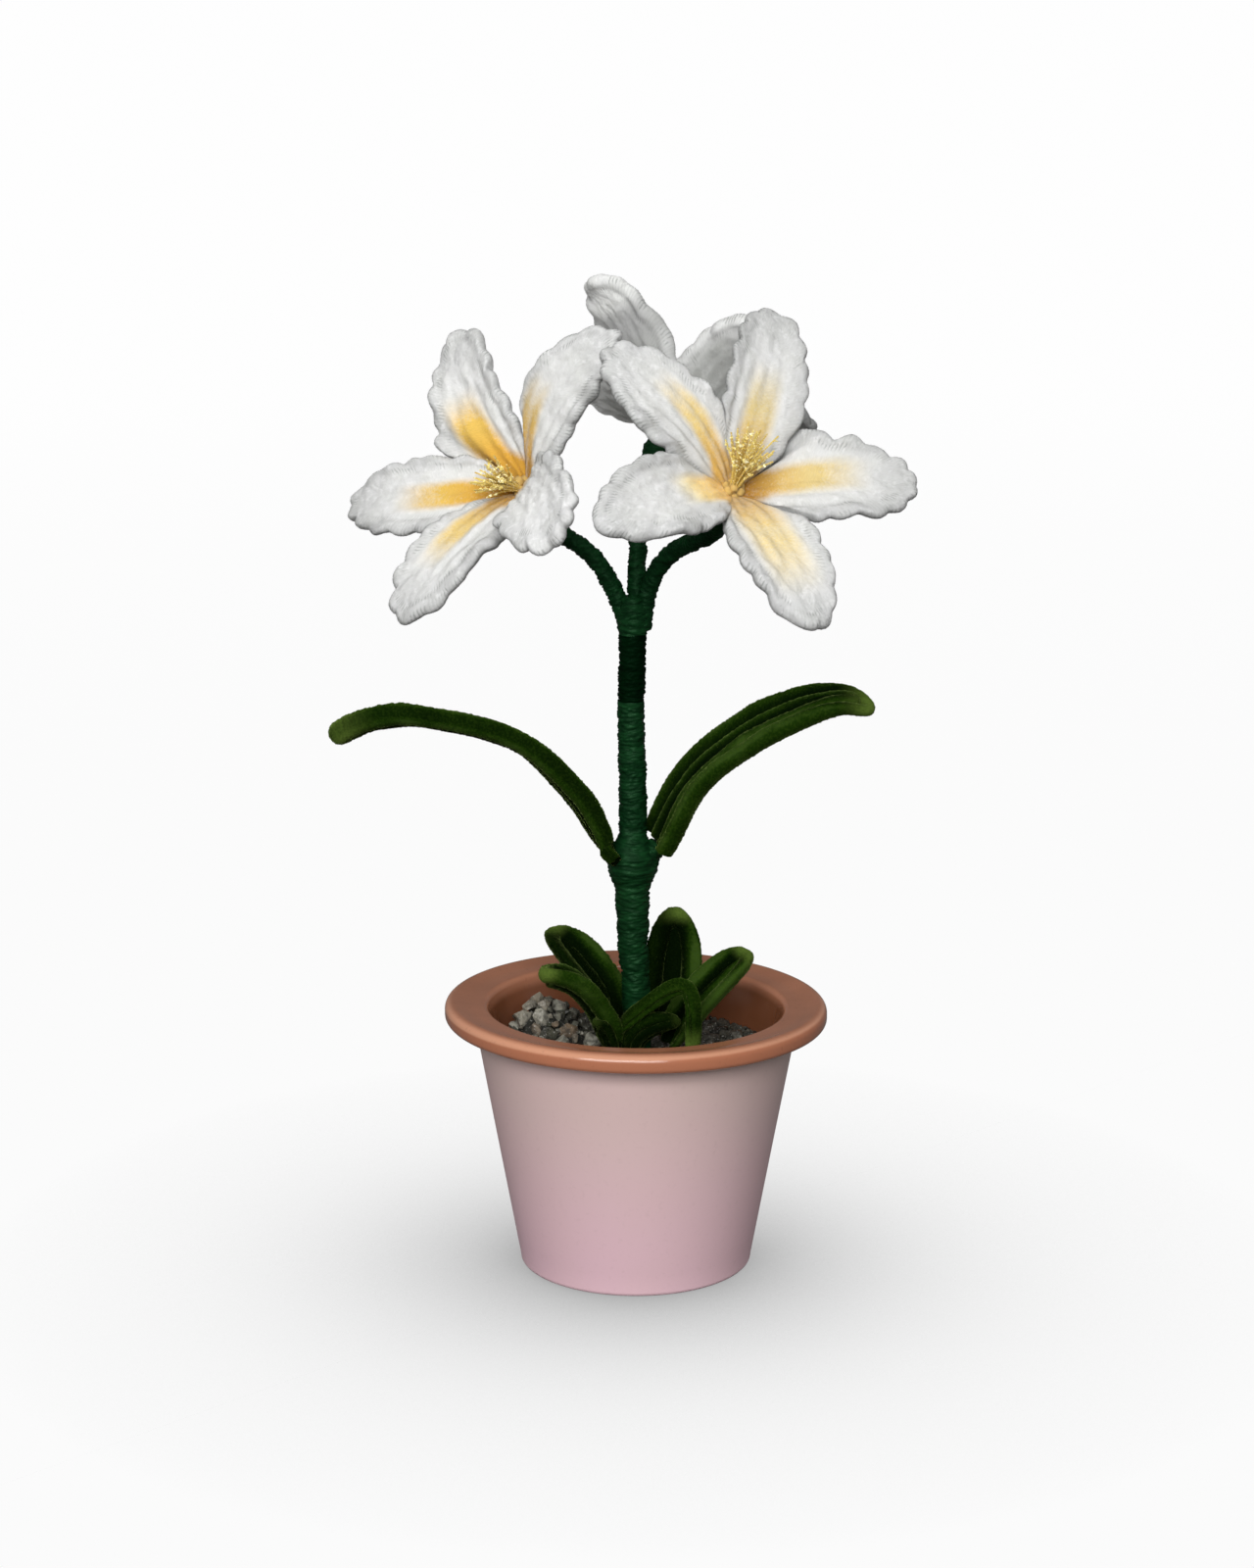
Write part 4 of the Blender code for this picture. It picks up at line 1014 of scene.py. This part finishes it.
def petal_material(name, edge, middle, painted_tuft_highlight):
    """White pile with painted shade and light from rim to middle and per petal, pale tufts as
    painted highlights, faint ribs and dark dashes of painted shade between tufts, and a sprayed
    yellow blush.
    """
    n = Look(name, (0.75, 0.75, 0.74), 0.9, 0.12, Sheen_Weight=0.08, Sheen_Roughness=0.5)
    _, hollow, painted_lightness = n.field("place")
    along, inset, valley = n.field("strip")
    amount, tip, tone = n.field("blush")
    tint = n.vector("tint")
    cloud = n.noise(170, 3)
    tuft = n.noise(520, 3, 0.6)
    grain = n.noise(1500, 2)
    fibre = n.noise(1.0, 3, 0.65, n.joined(n.times(along, 3.0), n.times(inset, 0.8)), 0.6)

    # from rim to middle: painted shade and light of the pile's curve
    base = n.mix(hollow, edge, middle)
    base = n.mix(n.fade(cloud, 0.3, 0.7), base, n.dyed(base, (0.95, 0.955, 0.94)))
    base = n.mix(n.fade(fibre, 0.58, 0.34, 0.0, 0.8), base, n.dyed(base, (0.90, 0.90, 0.90)))
    # pale tufts: painted highlights
    base = n.mix(n.fade(tuft, 0.50, 0.72, 0.0, 0.42), base, painted_tuft_highlight)
    # each petal's painted lightness
    base = n.dyed(base, n.joined(painted_lightness, painted_lightness, painted_lightness))

    # ribs where the stem's turns show near the rim, and dashes in the valleys, both painted shade
    # in the gaps between tufts
    wave = n.math("SINE", n.scaled(along, math.pi / RIB_PITCH, n.times(tuft, 4.0)))
    ribs = n.times(n.fade(n.math("ABSOLUTE", wave), 0.70, 0.98), n.fade(inset, 6.0, 3.0))
    base = n.mix(n.times(ribs, n.fade(cloud, 0.35, 0.65, 0.0, 0.16)), base, (0.25, 0.26, 0.25))
    dash = n.times(ribs, n.fade(valley, 0.25, 0.7), n.fade(n.noise(190, 2), 0.51, 0.58))
    base = n.mix(n.times(dash, 0.5), base, (0.20, 0.21, 0.20))

    spray = n.times(amount, n.scaled(grain, 0.8, 0.60), n.scaled(cloud, 0.7, 0.65))
    shaded = n.fade(fibre, 0.35, 0.65, 0.25, 0.0)
    yellow = n.mix(shaded, tint, n.dyed(tint, (0.6, 0.5, 0.4)))
    base = n.mix(n.math("MINIMUM", spray, 1.0), base, yellow)
    # fibres' tips a little lighter: painted light
    base = n.mix(n.times(tip, tone, 0.25), base, (0.72, 0.72, 0.72))
    relief = n.scaled(tuft, 0.6, n.scaled(grain, 0.3, fibre))
    return n.finish(base, (relief, 0.5, 0.3))


def leaf_material():
    """Green velvet: nearly black in the hollow, with painted light along the rims, at the tip and
    at fibres' tips.
    """
    n = Look("leaf_pile", (0.02, 0.06, 0.005), 0.85, 0.02, Sheen_Weight=0.60,
             Sheen_Roughness=0.26, Sheen_Tint=(0.24, 0.34, 0.09))
    s, y, top = n.field("place")
    _, side, lit = n.field("strip")
    _, tip, tone = n.field("blush")
    cloud = n.noise(150, 3)
    grain = n.noise(1500, 3, 0.6)
    out = n.math("ABSOLUTE", y)

    # painted light of the rim: less on its inward and outward faces, more at the tip
    rim = n.times(n.fade(out, 0.30, 0.85), n.fade(side, -1.0, 0.2, 0.15, 1.0),
                  n.fade(side, 0.65, 1.0, 1.0, 0.55))
    # more painted light along the lower edge
    rim = n.math("MAXIMUM", rim, n.times(n.fade(top, 0.4, 0.0), n.fade(out, 0.45, 0.8, 0.0, 0.4)))
    rim = n.math("MAXIMUM", rim, n.fade(s, 0.88, 1.02))
    # less painted light toward the foot, as painted shade
    rim = n.times(rim, lit, n.fade(s, 0.0, 0.5, 0.75, 1.0), n.scaled(cloud, 1.5, 0.1))
    rim = n.math("MINIMUM", rim, 2.2)
    # painted highlight on the tip, painted flecks along the rims and painted glints on the fibres'
    # tips
    end = n.times(n.fade(s, 0.85, 0.99), n.math("MINIMUM", lit, 1.6))

    base = n.mix(rim, (0.0008, 0.0040, 0.0002), (0.0072, 0.024, 0.0009))
    base = n.mix(n.fade(rim, 0.9, 2.1), base, (0.030, 0.062, 0.009))
    grainy = n.times(n.fade(grain, 0.45, 0.62), n.scaled(rim, 0.35, 0.04))
    base = n.mix(grainy, base, (0.030, 0.062, 0.006))
    glint = n.times(tip, tone, n.scaled(rim, 0.55, 0.10))
    base = n.mix(glint, base, (0.14, 0.215, 0.04))
    base = n.mix(n.times(end, n.scaled(grain, 0.7, 0.25)), base, (0.085, 0.135, 0.022))
    return n.finish(base, (grain, 0.8, 0.3))


def tape_material(name, light, dark, specular):
    """Waxed green paper, creased along its turns."""
    n = Look(name, (0.006, 0.04, 0.012), 0.5, specular, Specular_Tint=(0.45, 1.0, 0.55))
    folds = n.noise(420, 4, 0.6, n.place((0.5, 0.5, 1.8)))
    # lighter on the folds' tops and darker in the creases between: painted light and shade
    base = n.mix(n.fade(folds, 0.35, 0.68), dark, light)
    darker = n.mix(0.5, base, (0.0015, 0.013, 0.004))
    base = n.mix(n.fade(n.noise(60, 2), 0.3, 0.7), base, darker)
    return n.finish(base, (folds, 0.5, 0.4), n.fade(folds, 0.3, 0.7, 0.58, 0.40))


def glaze_material():
    """Terracotta brown glaze, paler where it thins over the edges, with a painted highlight along
    the lip's top edge; lengths in metres.
    """
    n = Look("brown_glaze", (0.31, 0.125, 0.066), 0.16, 0.42)
    x, y, z = n.split(n.place())
    radius = n.math("SQRT", n.math("ADD", n.times(x, x), n.times(y, y)))
    cloud = n.noise(45, 3)
    clouds = n.fade(cloud, 0.3, 0.7)
    rim = n.mix(clouds, (0.290, 0.116, 0.062), (0.335, 0.135, 0.074))
    wall = n.mix(clouds, (0.165, 0.058, 0.025), (0.215, 0.078, 0.038))
    # the lip's top edge paler still: a painted highlight
    edge = n.mix(n.fade(z, 0.0760, 0.0768), (0.385, 0.145, 0.078), (0.56, 0.27, 0.165))
    base = n.mix(n.fade(radius, 0.0527, 0.0546), rim, edge)
    base = n.mix(n.fade(radius, 0.0442, 0.0428), base, (0.40, 0.165, 0.092))
    lower = n.mix(n.fade(radius, 0.0440, 0.0460), wall, edge)
    base = n.mix(n.fade(z, 0.0755, 0.0725), base, lower)
    base = n.mix(n.fade(n.noise(900, 2), 0.6, 0.8, 0.0, 0.25), base, (0.14, 0.055, 0.03))
    return n.finish(base, (n.noise(120, 2), 0.2, 0.2), n.fade(cloud, 0.3, 0.7, 0.13, 0.22))


def pink_material():
    """Matte pink glaze, pinker and lighter toward the foot as painted bounce light, and warmer and
    darker toward the rim as painted shade under it.
    """
    n = Look("pink_matte_glaze", (0.62, 0.44, 0.45), 0.42, 0.4)
    height = n.split(n.place())[2]
    cloud = n.noise(26, 3)
    speck = n.noise(700, 3)
    # painted light: pinker toward the foot as if lit from below, warmer and darker under the rim
    # as painted shade
    base = n.mix(n.fade(height, 0.0, 0.075), (0.715, 0.475, 0.535), (0.625, 0.475, 0.440))
    base = n.mix(n.fade(cloud, 0.3, 0.7, 0.0, 0.35), base, (0.67, 0.46, 0.47))
    base = n.mix(n.fade(speck, 0.55, 0.8, 0.0, 0.2), base, (0.50, 0.34, 0.34))
    return n.finish(base, (speck, 0.12, 0.15), n.fade(cloud, 0.3, 0.7, 0.40, 0.52))


def stone_material():
    """Crushed stone of mixed colours, darker at the right, where the leaves shade it."""
    n = Look("gravel_stones", (0.2, 0.19, 0.15), 0.75, 0.4)
    vein = n.noise(520, 4, 0.65)
    base = n.ramp(n.field("stone")[0], (0.0, (0.012, 0.012, 0.008)),
                  (0.2, (0.055, 0.055, 0.040)), (0.45, (0.13, 0.125, 0.095)),
                  (0.65, (0.18, 0.175, 0.14)), (0.80, (0.13, 0.090, 0.055)),
                  (1.0, (0.31, 0.305, 0.25)))
    to_right = n.split(n.place())[0]
    base = n.mix(n.fade(to_right, 0.008, 0.018, 0.0, 0.72), base, (0.010, 0.009, 0.006))
    base = n.mix(n.fade(vein, 0.42, 0.66), base, n.mix(0.75, base, (0.02, 0.02, 0.016)))
    base = n.mix(n.fade(n.noise(1800, 2), 0.6, 0.75, 0.0, 0.6), base, (0.5, 0.49, 0.45))
    return n.finish(base, (vein, 0.7, 0.5), n.fade(n.noise(260, 1), 0.40, 0.60, 0.22, 0.85))


def foam_material():
    """Open-cell foam."""
    n = Look("foam", (0.10, 0.16, 0.07), 0.95, 0.5)
    cells = n.noise(600, 3)
    base = n.mix(n.fade(cells, 0.35, 0.65), (0.06, 0.10, 0.04), (0.13, 0.20, 0.09))
    return n.finish(base, (cells, 0.8, 0.5))


def stamen_material():
    """Gold tinsel, from brown shade to nearly white glints."""
    n = Look("gold_tinsel", (0.90, 0.76, 0.25), 0.22, 0.8)
    glint = n.noise(1900, 1)
    base = n.ramp(n.field("stone")[0], (0.0, (0.30, 0.17, 0.025)), (0.35, (0.62, 0.43, 0.085)),
                  (0.6, (0.86, 0.70, 0.19)), (0.8, (0.98, 0.88, 0.36)), (1.0, (1.0, 0.97, 0.72)))
    base = n.mix(n.fade(glint, 0.55, 0.65, 0.0, 0.7), base, (1.0, 0.96, 0.66))
    return n.finish(base, roughness=n.fade(glint, 0.4, 0.6, 0.32, 0.12))


def floor_material():
    """Pale sweep, with a soft shadow where something stands close, and white far off."""
    material = bpy.data.materials.new("pale_sweep")
    material.use_nodes = True
    n = Nodes(material.node_tree)
    n.tree.nodes.clear()
    close = n.node("AmbientOcclusion", {"Distance": 0.16}, samples=8).outputs["AO"]
    near = n.fade(close, 0.45, 1.0, 0.42, 0.965, "LINEAR")
    raw = n.node("TexCoord").outputs["Object"]
    away = n.node("VectorMath", {0: raw}, operation="LENGTH").outputs["Value"]
    light = n.value("Mix", {0: n.fade(away, 0.4, 3.0), 2: near, 3: 0.99})
    glow = n.value("Emission", {"Strength": light})
    n.node("OutputMaterial", {"Surface": glow})
    return material


# ---- pot, gravel, stem and stamens


def lathe(name, profile, segments=144):
    """Thrown piece from an outline of (radius, height), its rim a little out of level."""
    profile = np.asarray(profile, float)
    angle = np.linspace(0, math.tau, segments, endpoint=False)
    ring = stacked(np.cos(angle), np.sin(angle))
    points = np.empty((len(profile), segments, 3))
    points[..., :2] = profile[:, None, :1] * ring[None]
    lean = ramp(profile[:, None, 1], LEAN_FROM, LEAN_OVER)
    points[..., 2] = profile[:, None, 1] - lean * RIM_LEAN * points[..., 0]
    item = new_object(name, points.reshape(-1, 3), [grid_faces(len(profile), segments)])
    item.data.set_sharp_from_angle(angle=math.radians(60))
    return item


def arc(centre, radius, start, end, steps):
    """Points of an arc of a profile, from one angle in degrees to another."""
    angle = np.radians(np.linspace(start, end, steps + 1))
    return [(centre[0] + radius * math.cos(a), centre[1] + radius * math.sin(a)) for a in angle]


def build_pot():
    """The glazed floor, wall, lip and rim with its rolled edge, and the pink body under it."""
    glaze = [(0.05, POT_FLOOR), (POT_INNER_FOOT, POT_FLOOR), (36.0, 42.0), (41.4, 70.5)]
    glaze += arc((POT_MOUTH + 1.7, POT_TOP - 1.9), 1.9, 178, 92, 8)
    glaze += [(46.6, POT_TOP + 0.02), (49.6, POT_TOP + 0.25)]
    glaze += arc((52.5, 75.35), 2.5, 98, 0, 10)
    glaze += arc((53.4, 74.0), 1.6, 0, -80, 6)
    glaze += [(52.2, 72.4), (49.0, 72.7), (POT_SHOULDER - 0.2, POT_UNDER_RIM)]
    hand_over(lathe("pot_brown_glaze", glaze, 160), glaze_material(), "pot")
    body = [(POT_SHOULDER - 0.4, POT_UNDER_RIM + 0.02), (POT_SHOULDER, POT_UNDER_RIM)]
    body += [(POT_SHOULDER - 0.3 - (POT_SHOULDER - 33.9) * t,
              POT_UNDER_RIM - (POT_UNDER_RIM - 1.6) * t) for t in np.linspace(0.04, 1, 14)]
    body += arc((32.3, 1.3), 1.3, 0, -90, 5)
    body += [(31.2, 0.0), (30.6, 0.9), (29.0, 0.9), (0.05, 0.9)]
    hand_over(lathe("pot_pink_body", body), pink_material(), "pot")


def pot_inside(z):
    """Radius of the pot's inner wall at a height."""
    return np.interp(z, [POT_FLOOR, POT_TOP - 1.2], [POT_INNER_FOOT, POT_MOUTH])


def bed_height(x, y):
    """Top of the gravel, with its mound."""
    away = np.hypot(x - MOUND_CENTRE[0], y - MOUND_CENTRE[1]) / MOUND_SPREAD
    to_wall = (pot_inside(BED_TOP) - np.hypot(x, y)) / BED_EDGE
    return BED_TOP + MOUND_HEIGHT * np.exp(-away * away / 2) * clamp(to_wall)


def broken_stones(count):
    """Shapes of crushed stone: hulls of a few scattered points."""
    shapes = []
    for _ in range(count):
        work = bmesh.new()
        spots = unit(rng.normal(size=(STONE_CORNERS, 3)))
        spots = spots * (0.8 + 0.25 * rng.random((STONE_CORNERS, 1)))
        for spot in spots * (0.8 + 0.5 * rng.random(3)):
            work.verts.new(spot)
        bmesh.ops.convex_hull(work, input=work.verts)
        bmesh.ops.delete(work, geom=[v for v in work.verts if not v.link_faces], context="VERTS")
        bmesh.ops.triangulate(work, faces=work.faces)
        work.verts.index_update()
        points = np.array([v.co for v in work.verts])
        faces = np.array([[v.index for v in f.verts] for f in work.faces])
        work.free()
        shapes.append((points, faces))
    return shapes


def gravel_places(wall):
    """Places and radii of the stones: large ones first, small ones between them."""
    stones = list(PALE_STONES)
    for radius, tries in OTHER_STONES:
        for _ in range(tries):
            away, turn = math.sqrt(rng.random()) * (wall - radius), rng.random() * math.tau
            x, y = away * math.cos(turn), away * math.sin(turn)
            if math.hypot(x - STEM_PATH[0][0], y) < STEM_ROOM + radius:
                continue
            own = radius * (0.85 + 0.3 * rng.random())
            if all((x - sx) ** 2 + (y - sy) ** 2 > (0.82 * (own + sr)) ** 2
                   for sx, sy, sr in stones):
                stones.append((x, y, own))
    return stones


def build_gravel():
    """Bed of small crushed stones, each with flat broken faces."""
    shapes = broken_stones(STONE_SHAPES)
    rings = np.linspace(0, 1, BED_ROWS)
    angle = np.linspace(0, math.tau, BED_COLUMNS, endpoint=False)
    wall = float(pot_inside(BED_TOP)) - WALL_GAP
    x = wall * rings[:, None] * np.cos(angle)
    y = wall * rings[:, None] * np.sin(angle)
    z = bed_height(x, y) - BED_SINK + 0.5 * rng.random(x.shape)
    z[0] = z[0, 0]
    bed = stacked(x, y, z)
    foot = bed[-1:].copy()
    foot[..., 2] = BED_BOTTOM
    bed = np.concatenate([bed, foot])
    heap = Heap()
    heap.add(bed, [grid_faces(len(bed), BED_COLUMNS)[:, ::-1]], fields={"stone": 0 * bed})
    for number, (x, y, radius) in enumerate(gravel_places(wall)):
        points, faces = shapes[rng.integers(len(shapes))]
        turn = unit(rng.normal(size=(3, 3)))
        turn[1] = unit(turn[1] - turn[0] * (turn[0] @ turn[1]))
        turn[2] = np.cross(turn[0], turn[1])
        height = float(bed_height(x, y)) - 0.35 * radius
        height += 0.9 * rng.random() * (radius < SMALL_STONE)
        kind = rng.random()
        if number < len(PALE_STONES):
            kind = 0.86 + 0.14 * kind
        heap.add(points @ turn * radius * 1.15 + (x, y, height), [faces],
                 fields={"stone": np.full(points.shape, kind)})
    hand_over(heap.build("gravel_bed", False), stone_material(), "gravel")


def crinkled(path, radii, sides, seed):
    """Tube of wrapped tape: slanting turns that tuck under each other, and creases between."""
    run = distances(path)
    grid = np.empty((len(path), sides))
    for row, (at, base) in enumerate(zip(run, np.broadcast_to(radii, len(path)))):
        swell = 0.32 * noise.noise((seed, at * 0.19, 3.0))
        for column in range(sides):
            a = math.tau * column / sides
            x, y = math.cos(a), math.sin(a)
            side = 0.40 * noise.noise((0.9 * x + seed, 0.9 * y, at * 0.30))
            drift = 1.7 * noise.noise((1.2 * x + seed, 1.2 * y, at * 0.22))
            turn = (at / TAPE_PITCH + 0.5 * math.sin(a + seed) + drift) % 1.0
            open_part = turn ** 1.2 if turn < TAPE_COVERED else (1 - turn) / (1 - TAPE_COVERED)
            crease = abs(noise.noise((1.3 * x, 1.3 * y + seed, at * 0.95)))
            fold = abs(noise.noise((2.6 * x + 5, 2.6 * y + seed, at * 2.2)))
            grid[row, column] = (base + swell + side + TAPE_EDGE * open_part
                                 - CREASE_DEPTH * max(0.0, 1 - crease / CREASE_WIDTH)
                                 - FOLD_DEPTH * max(0.0, 1 - fold / FOLD_WIDTH))
    return tube_grid(path, grid, sides)


def build_stem():
    """Wrapped stem, its three branches and cups, and the sleeves of the long leaves."""
    heap = Heap()
    path = catmull(STEM_PATH, 0.28)
    radii = np.interp(path[:, 2], *zip(*STEM_THICKNESS))
    heap.add_tube(crinkled(path, radii, STEM_SIDES, 0.0))
    for number, bloom in enumerate(BLOOMS.values()):
        throat, axis, _, _ = bloom_frame(bloom)
        end = throat - axis * (CUP_TO_THROAT + CUP_LENGTH - 1.5)
        route = catmull(list(bloom["branch"]) + [tuple(end)], 0.32)
        heap.add_tube(crinkled(route, BRANCH_RADIUS, BRANCH_SIDES, 10.0 + number))
        along = np.linspace(-CUP_LENGTH, 0.6, 34)
        cup = throat - axis * CUP_TO_THROAT + along[:, None] * axis
        size = np.interp(along, [-CUP_LENGTH, -CUP_LENGTH / 2, 0, 0.6],
                         [2.7, CUP_RADIUS, CUP_RADIUS, 3.4])
        heap.add_tube(crinkled(cup, size, CUP_SIDES, 20.0 + number))
    for number, leaf in enumerate(LONG_LEAVES.values()):
        inner, outer = np.array(leaf["stalk"]), np.array(leaf["sleeve"])
        sleeve = even(np.stack([inner, inner + (outer - inner) * 0.82]), 0.32)
        heap.add_tube(crinkled(sleeve, SLEEVE_RADIUS, SLEEVE_SIDES, 30.0 + number))
    item = heap.build("stem_wrapped")
    hand_over(item, tape_material("crinkled_tape", (0.0060, 0.042, 0.0115),
                                  (0.0018, 0.0165, 0.0044), 0.14), "stem")
    # second material: a band of the stem painted darker, the blooms' painted shadow
    item.data.materials.append(tape_material("crinkled_tape_painted_shadow", (0.0004, 0.0065, 0.0016),
                                             (0.0002, 0.003, 0.0008), 0.02))
    centres = np.empty(3 * len(item.data.polygons), np.float32)
    item.data.polygons.foreach_get("center", centres)
    across, _, height = centres.reshape(-1, 3).T / MM
    dark = (height > PAINTED_SHADOW_ON_TAPE[0]) & (height < PAINTED_SHADOW_ON_TAPE[1]) & (np.abs(across) < PAINTED_SHADOW_REACH)
    item.data.polygons.foreach_set("material_index", dark.astype(np.int32))


def build_stamens(name, bloom, material):
    """Spray of tinsel: fine bent filaments with glitter along and on their ends."""
    throat, axis, side, up = bloom_frame(bloom)
    heading, length = unit(bloom["stamens"][0]), bloom["stamens"][1]
    flake = np.array([(1, 0, 0), (0, 1, 0), (-1, 0, 0), (0, -1, 0), (0, 0, 1), (0, 0, -1)], float)
    flake_faces = np.array([(0, 1, 4), (1, 2, 4), (2, 3, 4), (3, 0, 4),
                            (1, 0, 5), (2, 1, 5), (3, 2, 5), (0, 3, 5)])
    heap = Heap()
    for number in range(FILAMENTS):
        turn = number * GOLDEN_ANGLE
        lean = math.radians(SPRAY_LEAN[name]) * math.sqrt((number + 0.5) / FILAMENTS)
        away = turned(side, up, turn)
        half = length * (0.72 + 0.28 * rng.random()) * 0.5
        start = throat - axis * 3.0 + away * 0.9 * (number / FILAMENTS)
        one = start + turned(heading, away, 0.5 * lean) * half
        two = one + turned(heading, away, 1.25 * lean) * half
        two = two + unit(rng.normal(size=3)) * 0.9
        path = catmull([start, one, two], 1.6)
        radii = np.full((len(path), FILAMENT_SIDES), FILAMENT_RADIUS)
        grid = tube_grid(path, radii, FILAMENT_SIDES)
        tone = 0.25 + 0.3 * rng.random()
        heap.add_tube(grid, fields={"stone": np.full(grid.shape, tone)})
        for _ in range(FLAKES):
            share = 0.35 + 0.65 * rng.random() ** 0.6
            spot = path[int(share * (len(path) - 1))] + rng.normal(size=3) * 0.22
            shape = flake * (0.2 + 0.5 * rng.random(3)) @ unit(rng.normal(size=(3, 3)))
            tone = 0.4 + 0.6 * rng.random()
            heap.add(shape + spot, [flake_faces], fields={"stone": np.full(shape.shape, tone)})
    hand_over(heap.build(name + "_tinsel", False), material, name)


# ---- the plant

build_pot()
build_gravel()
build_stem()

# The front blooms' rims are painted darker than their middles; the back bloom's hollows are
# painted darker, the shade of petals that face away
white = petal_material("petal_pile", (0.535, 0.537, 0.533), (0.655, 0.655, 0.645),
                       (0.76, 0.76, 0.76))
shaded = petal_material("petal_pile_back_painted_shade", (0.63, 0.632, 0.625), (0.40, 0.405, 0.39),
                        (0.54, 0.545, 0.53))
for bloom_name, bloom in BLOOMS.items():
    for number in range(5):
        build_petal(bloom_name, number, shaded if bloom_name == "back" else white)
    build_knob(bloom_name, bloom, white)

gold = stamen_material()
for bloom_name, bloom in BLOOMS.items():
    build_stamens("stamens_" + bloom_name, bloom, gold)

green = leaf_material()
for leaf_name, leaf in LONG_LEAVES.items():
    path = np.array(leaf["path"], float)
    span = unit(path[-1] - path[0])
    level = unit(np.array([-span[1], span[0], 0]))
    upward = np.cross(span, level)
    if upward[2] < 0:
        upward = -upward
    roll = math.radians(leaf["roll"])
    hollow = turned(upward, np.cross(span, upward), roll)
    build_leaf("long_leaf_" + leaf_name, path, leaf["width"], True, LONG_TROUGH, leaf["foot"],
               hollow, green, LONG_FIBRES, LONG_THICK, leaf["light"], leaf["end"])
for leaf_name, (path, width, hollow, half_thick, taper, light) in SHORT_LEAVES.items():
    build_leaf("short_leaf_" + leaf_name, path, width, False, SHORT_TROUGH, SHORT_FOOT,
               unit(hollow), green, SHORT_FIBRES, half_thick, light, (SHORT_END, taper))

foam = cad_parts["foam_block"]
foam.data.materials.clear()
foam.data.materials.append(foam_material())


# ---- floor, light and camera

FLOOR_REACH = 30
floor_mesh = bpy.data.meshes.new("floor")
corners = [(FLOOR_REACH * x, FLOOR_REACH * y, 0) for x, y in ((-1, -1), (1, -1), (1, 1), (-1, 1))]
floor_mesh.from_pydata(corners, [], [(0, 1, 2, 3)])
floor = placed("floor", floor_mesh)
floor.data.materials.append(floor_material())
floor.visible_diffuse = False
floor.visible_glossy = False

world = bpy.data.worlds.new("studio")
bpy.context.scene.world = world
world.use_nodes = True
n = Nodes(world.node_tree)
n.tree.nodes.clear()
lit = n.value("Background", {0: (1.0, 0.99, 0.98), 1: 0.14})
seen = n.value("Background", {0: (1, 1, 1), 1: 0.99})
camera_ray = n.node("LightPath").outputs["Is Camera Ray"]
either = n.value("MixShader", {0: camera_ray, 1: lit, 2: seen})
n.node("OutputWorld", {0: either})

# What the lights are aimed at, in metres
LIGHTS_AIM = Vector((0, 0, 0.14))


def add_light(name, turn, height, distance, energy, size, glossy=True):
    """Soft box round the plant: turn in degrees from the front to the right, height in
    degrees, distance and size in metres."""
    data = bpy.data.lights.new(name, "AREA")
    data.energy = energy
    data.shape = "RECTANGLE"
    data.size, data.size_y = size
    lamp = placed(name, data)
    turn, height = math.radians(turn), math.radians(height)
    level = math.cos(height)
    toward = Vector((math.sin(turn) * level, -math.cos(turn) * level, math.sin(height)))
    lamp.location = LIGHTS_AIM + distance * toward
    lamp.rotation_euler = (-toward).to_track_quat("-Z", "Y").to_euler()
    lamp.visible_glossy = glossy
    lamp.visible_camera = False


add_light("key", -8, 24, 1.5, 24, (1.3, 0.6))
add_light("spark", -4, 30, 1.5, 0.8, (0.13, 0.06))
add_light("top", 10, 76, 1.3, 7, (1.0, 1.0), False)
add_light("back_left", -145, 18, 1.5, 6, (0.9, 0.9), False)
add_light("back_right", 145, 18, 1.5, 6, (0.9, 0.9), False)

# The camera as fitted to the photo: how many degrees down it looks, and the rest
CAMERA_DOWN = 12.42
camera = placed("camera", bpy.data.cameras.new("camera"))
camera.location = (-0.00257, -0.869, 0.3327)
camera.rotation_euler = (math.radians(90 - CAMERA_DOWN), 0, 0)
camera.data.lens = 72.03
camera.data.sensor_width = 36
camera.data.clip_start = 0.05
camera.data.clip_end = 50
bpy.context.scene.camera = camera
bpy.context.scene.view_settings.view_transform = "Standard"
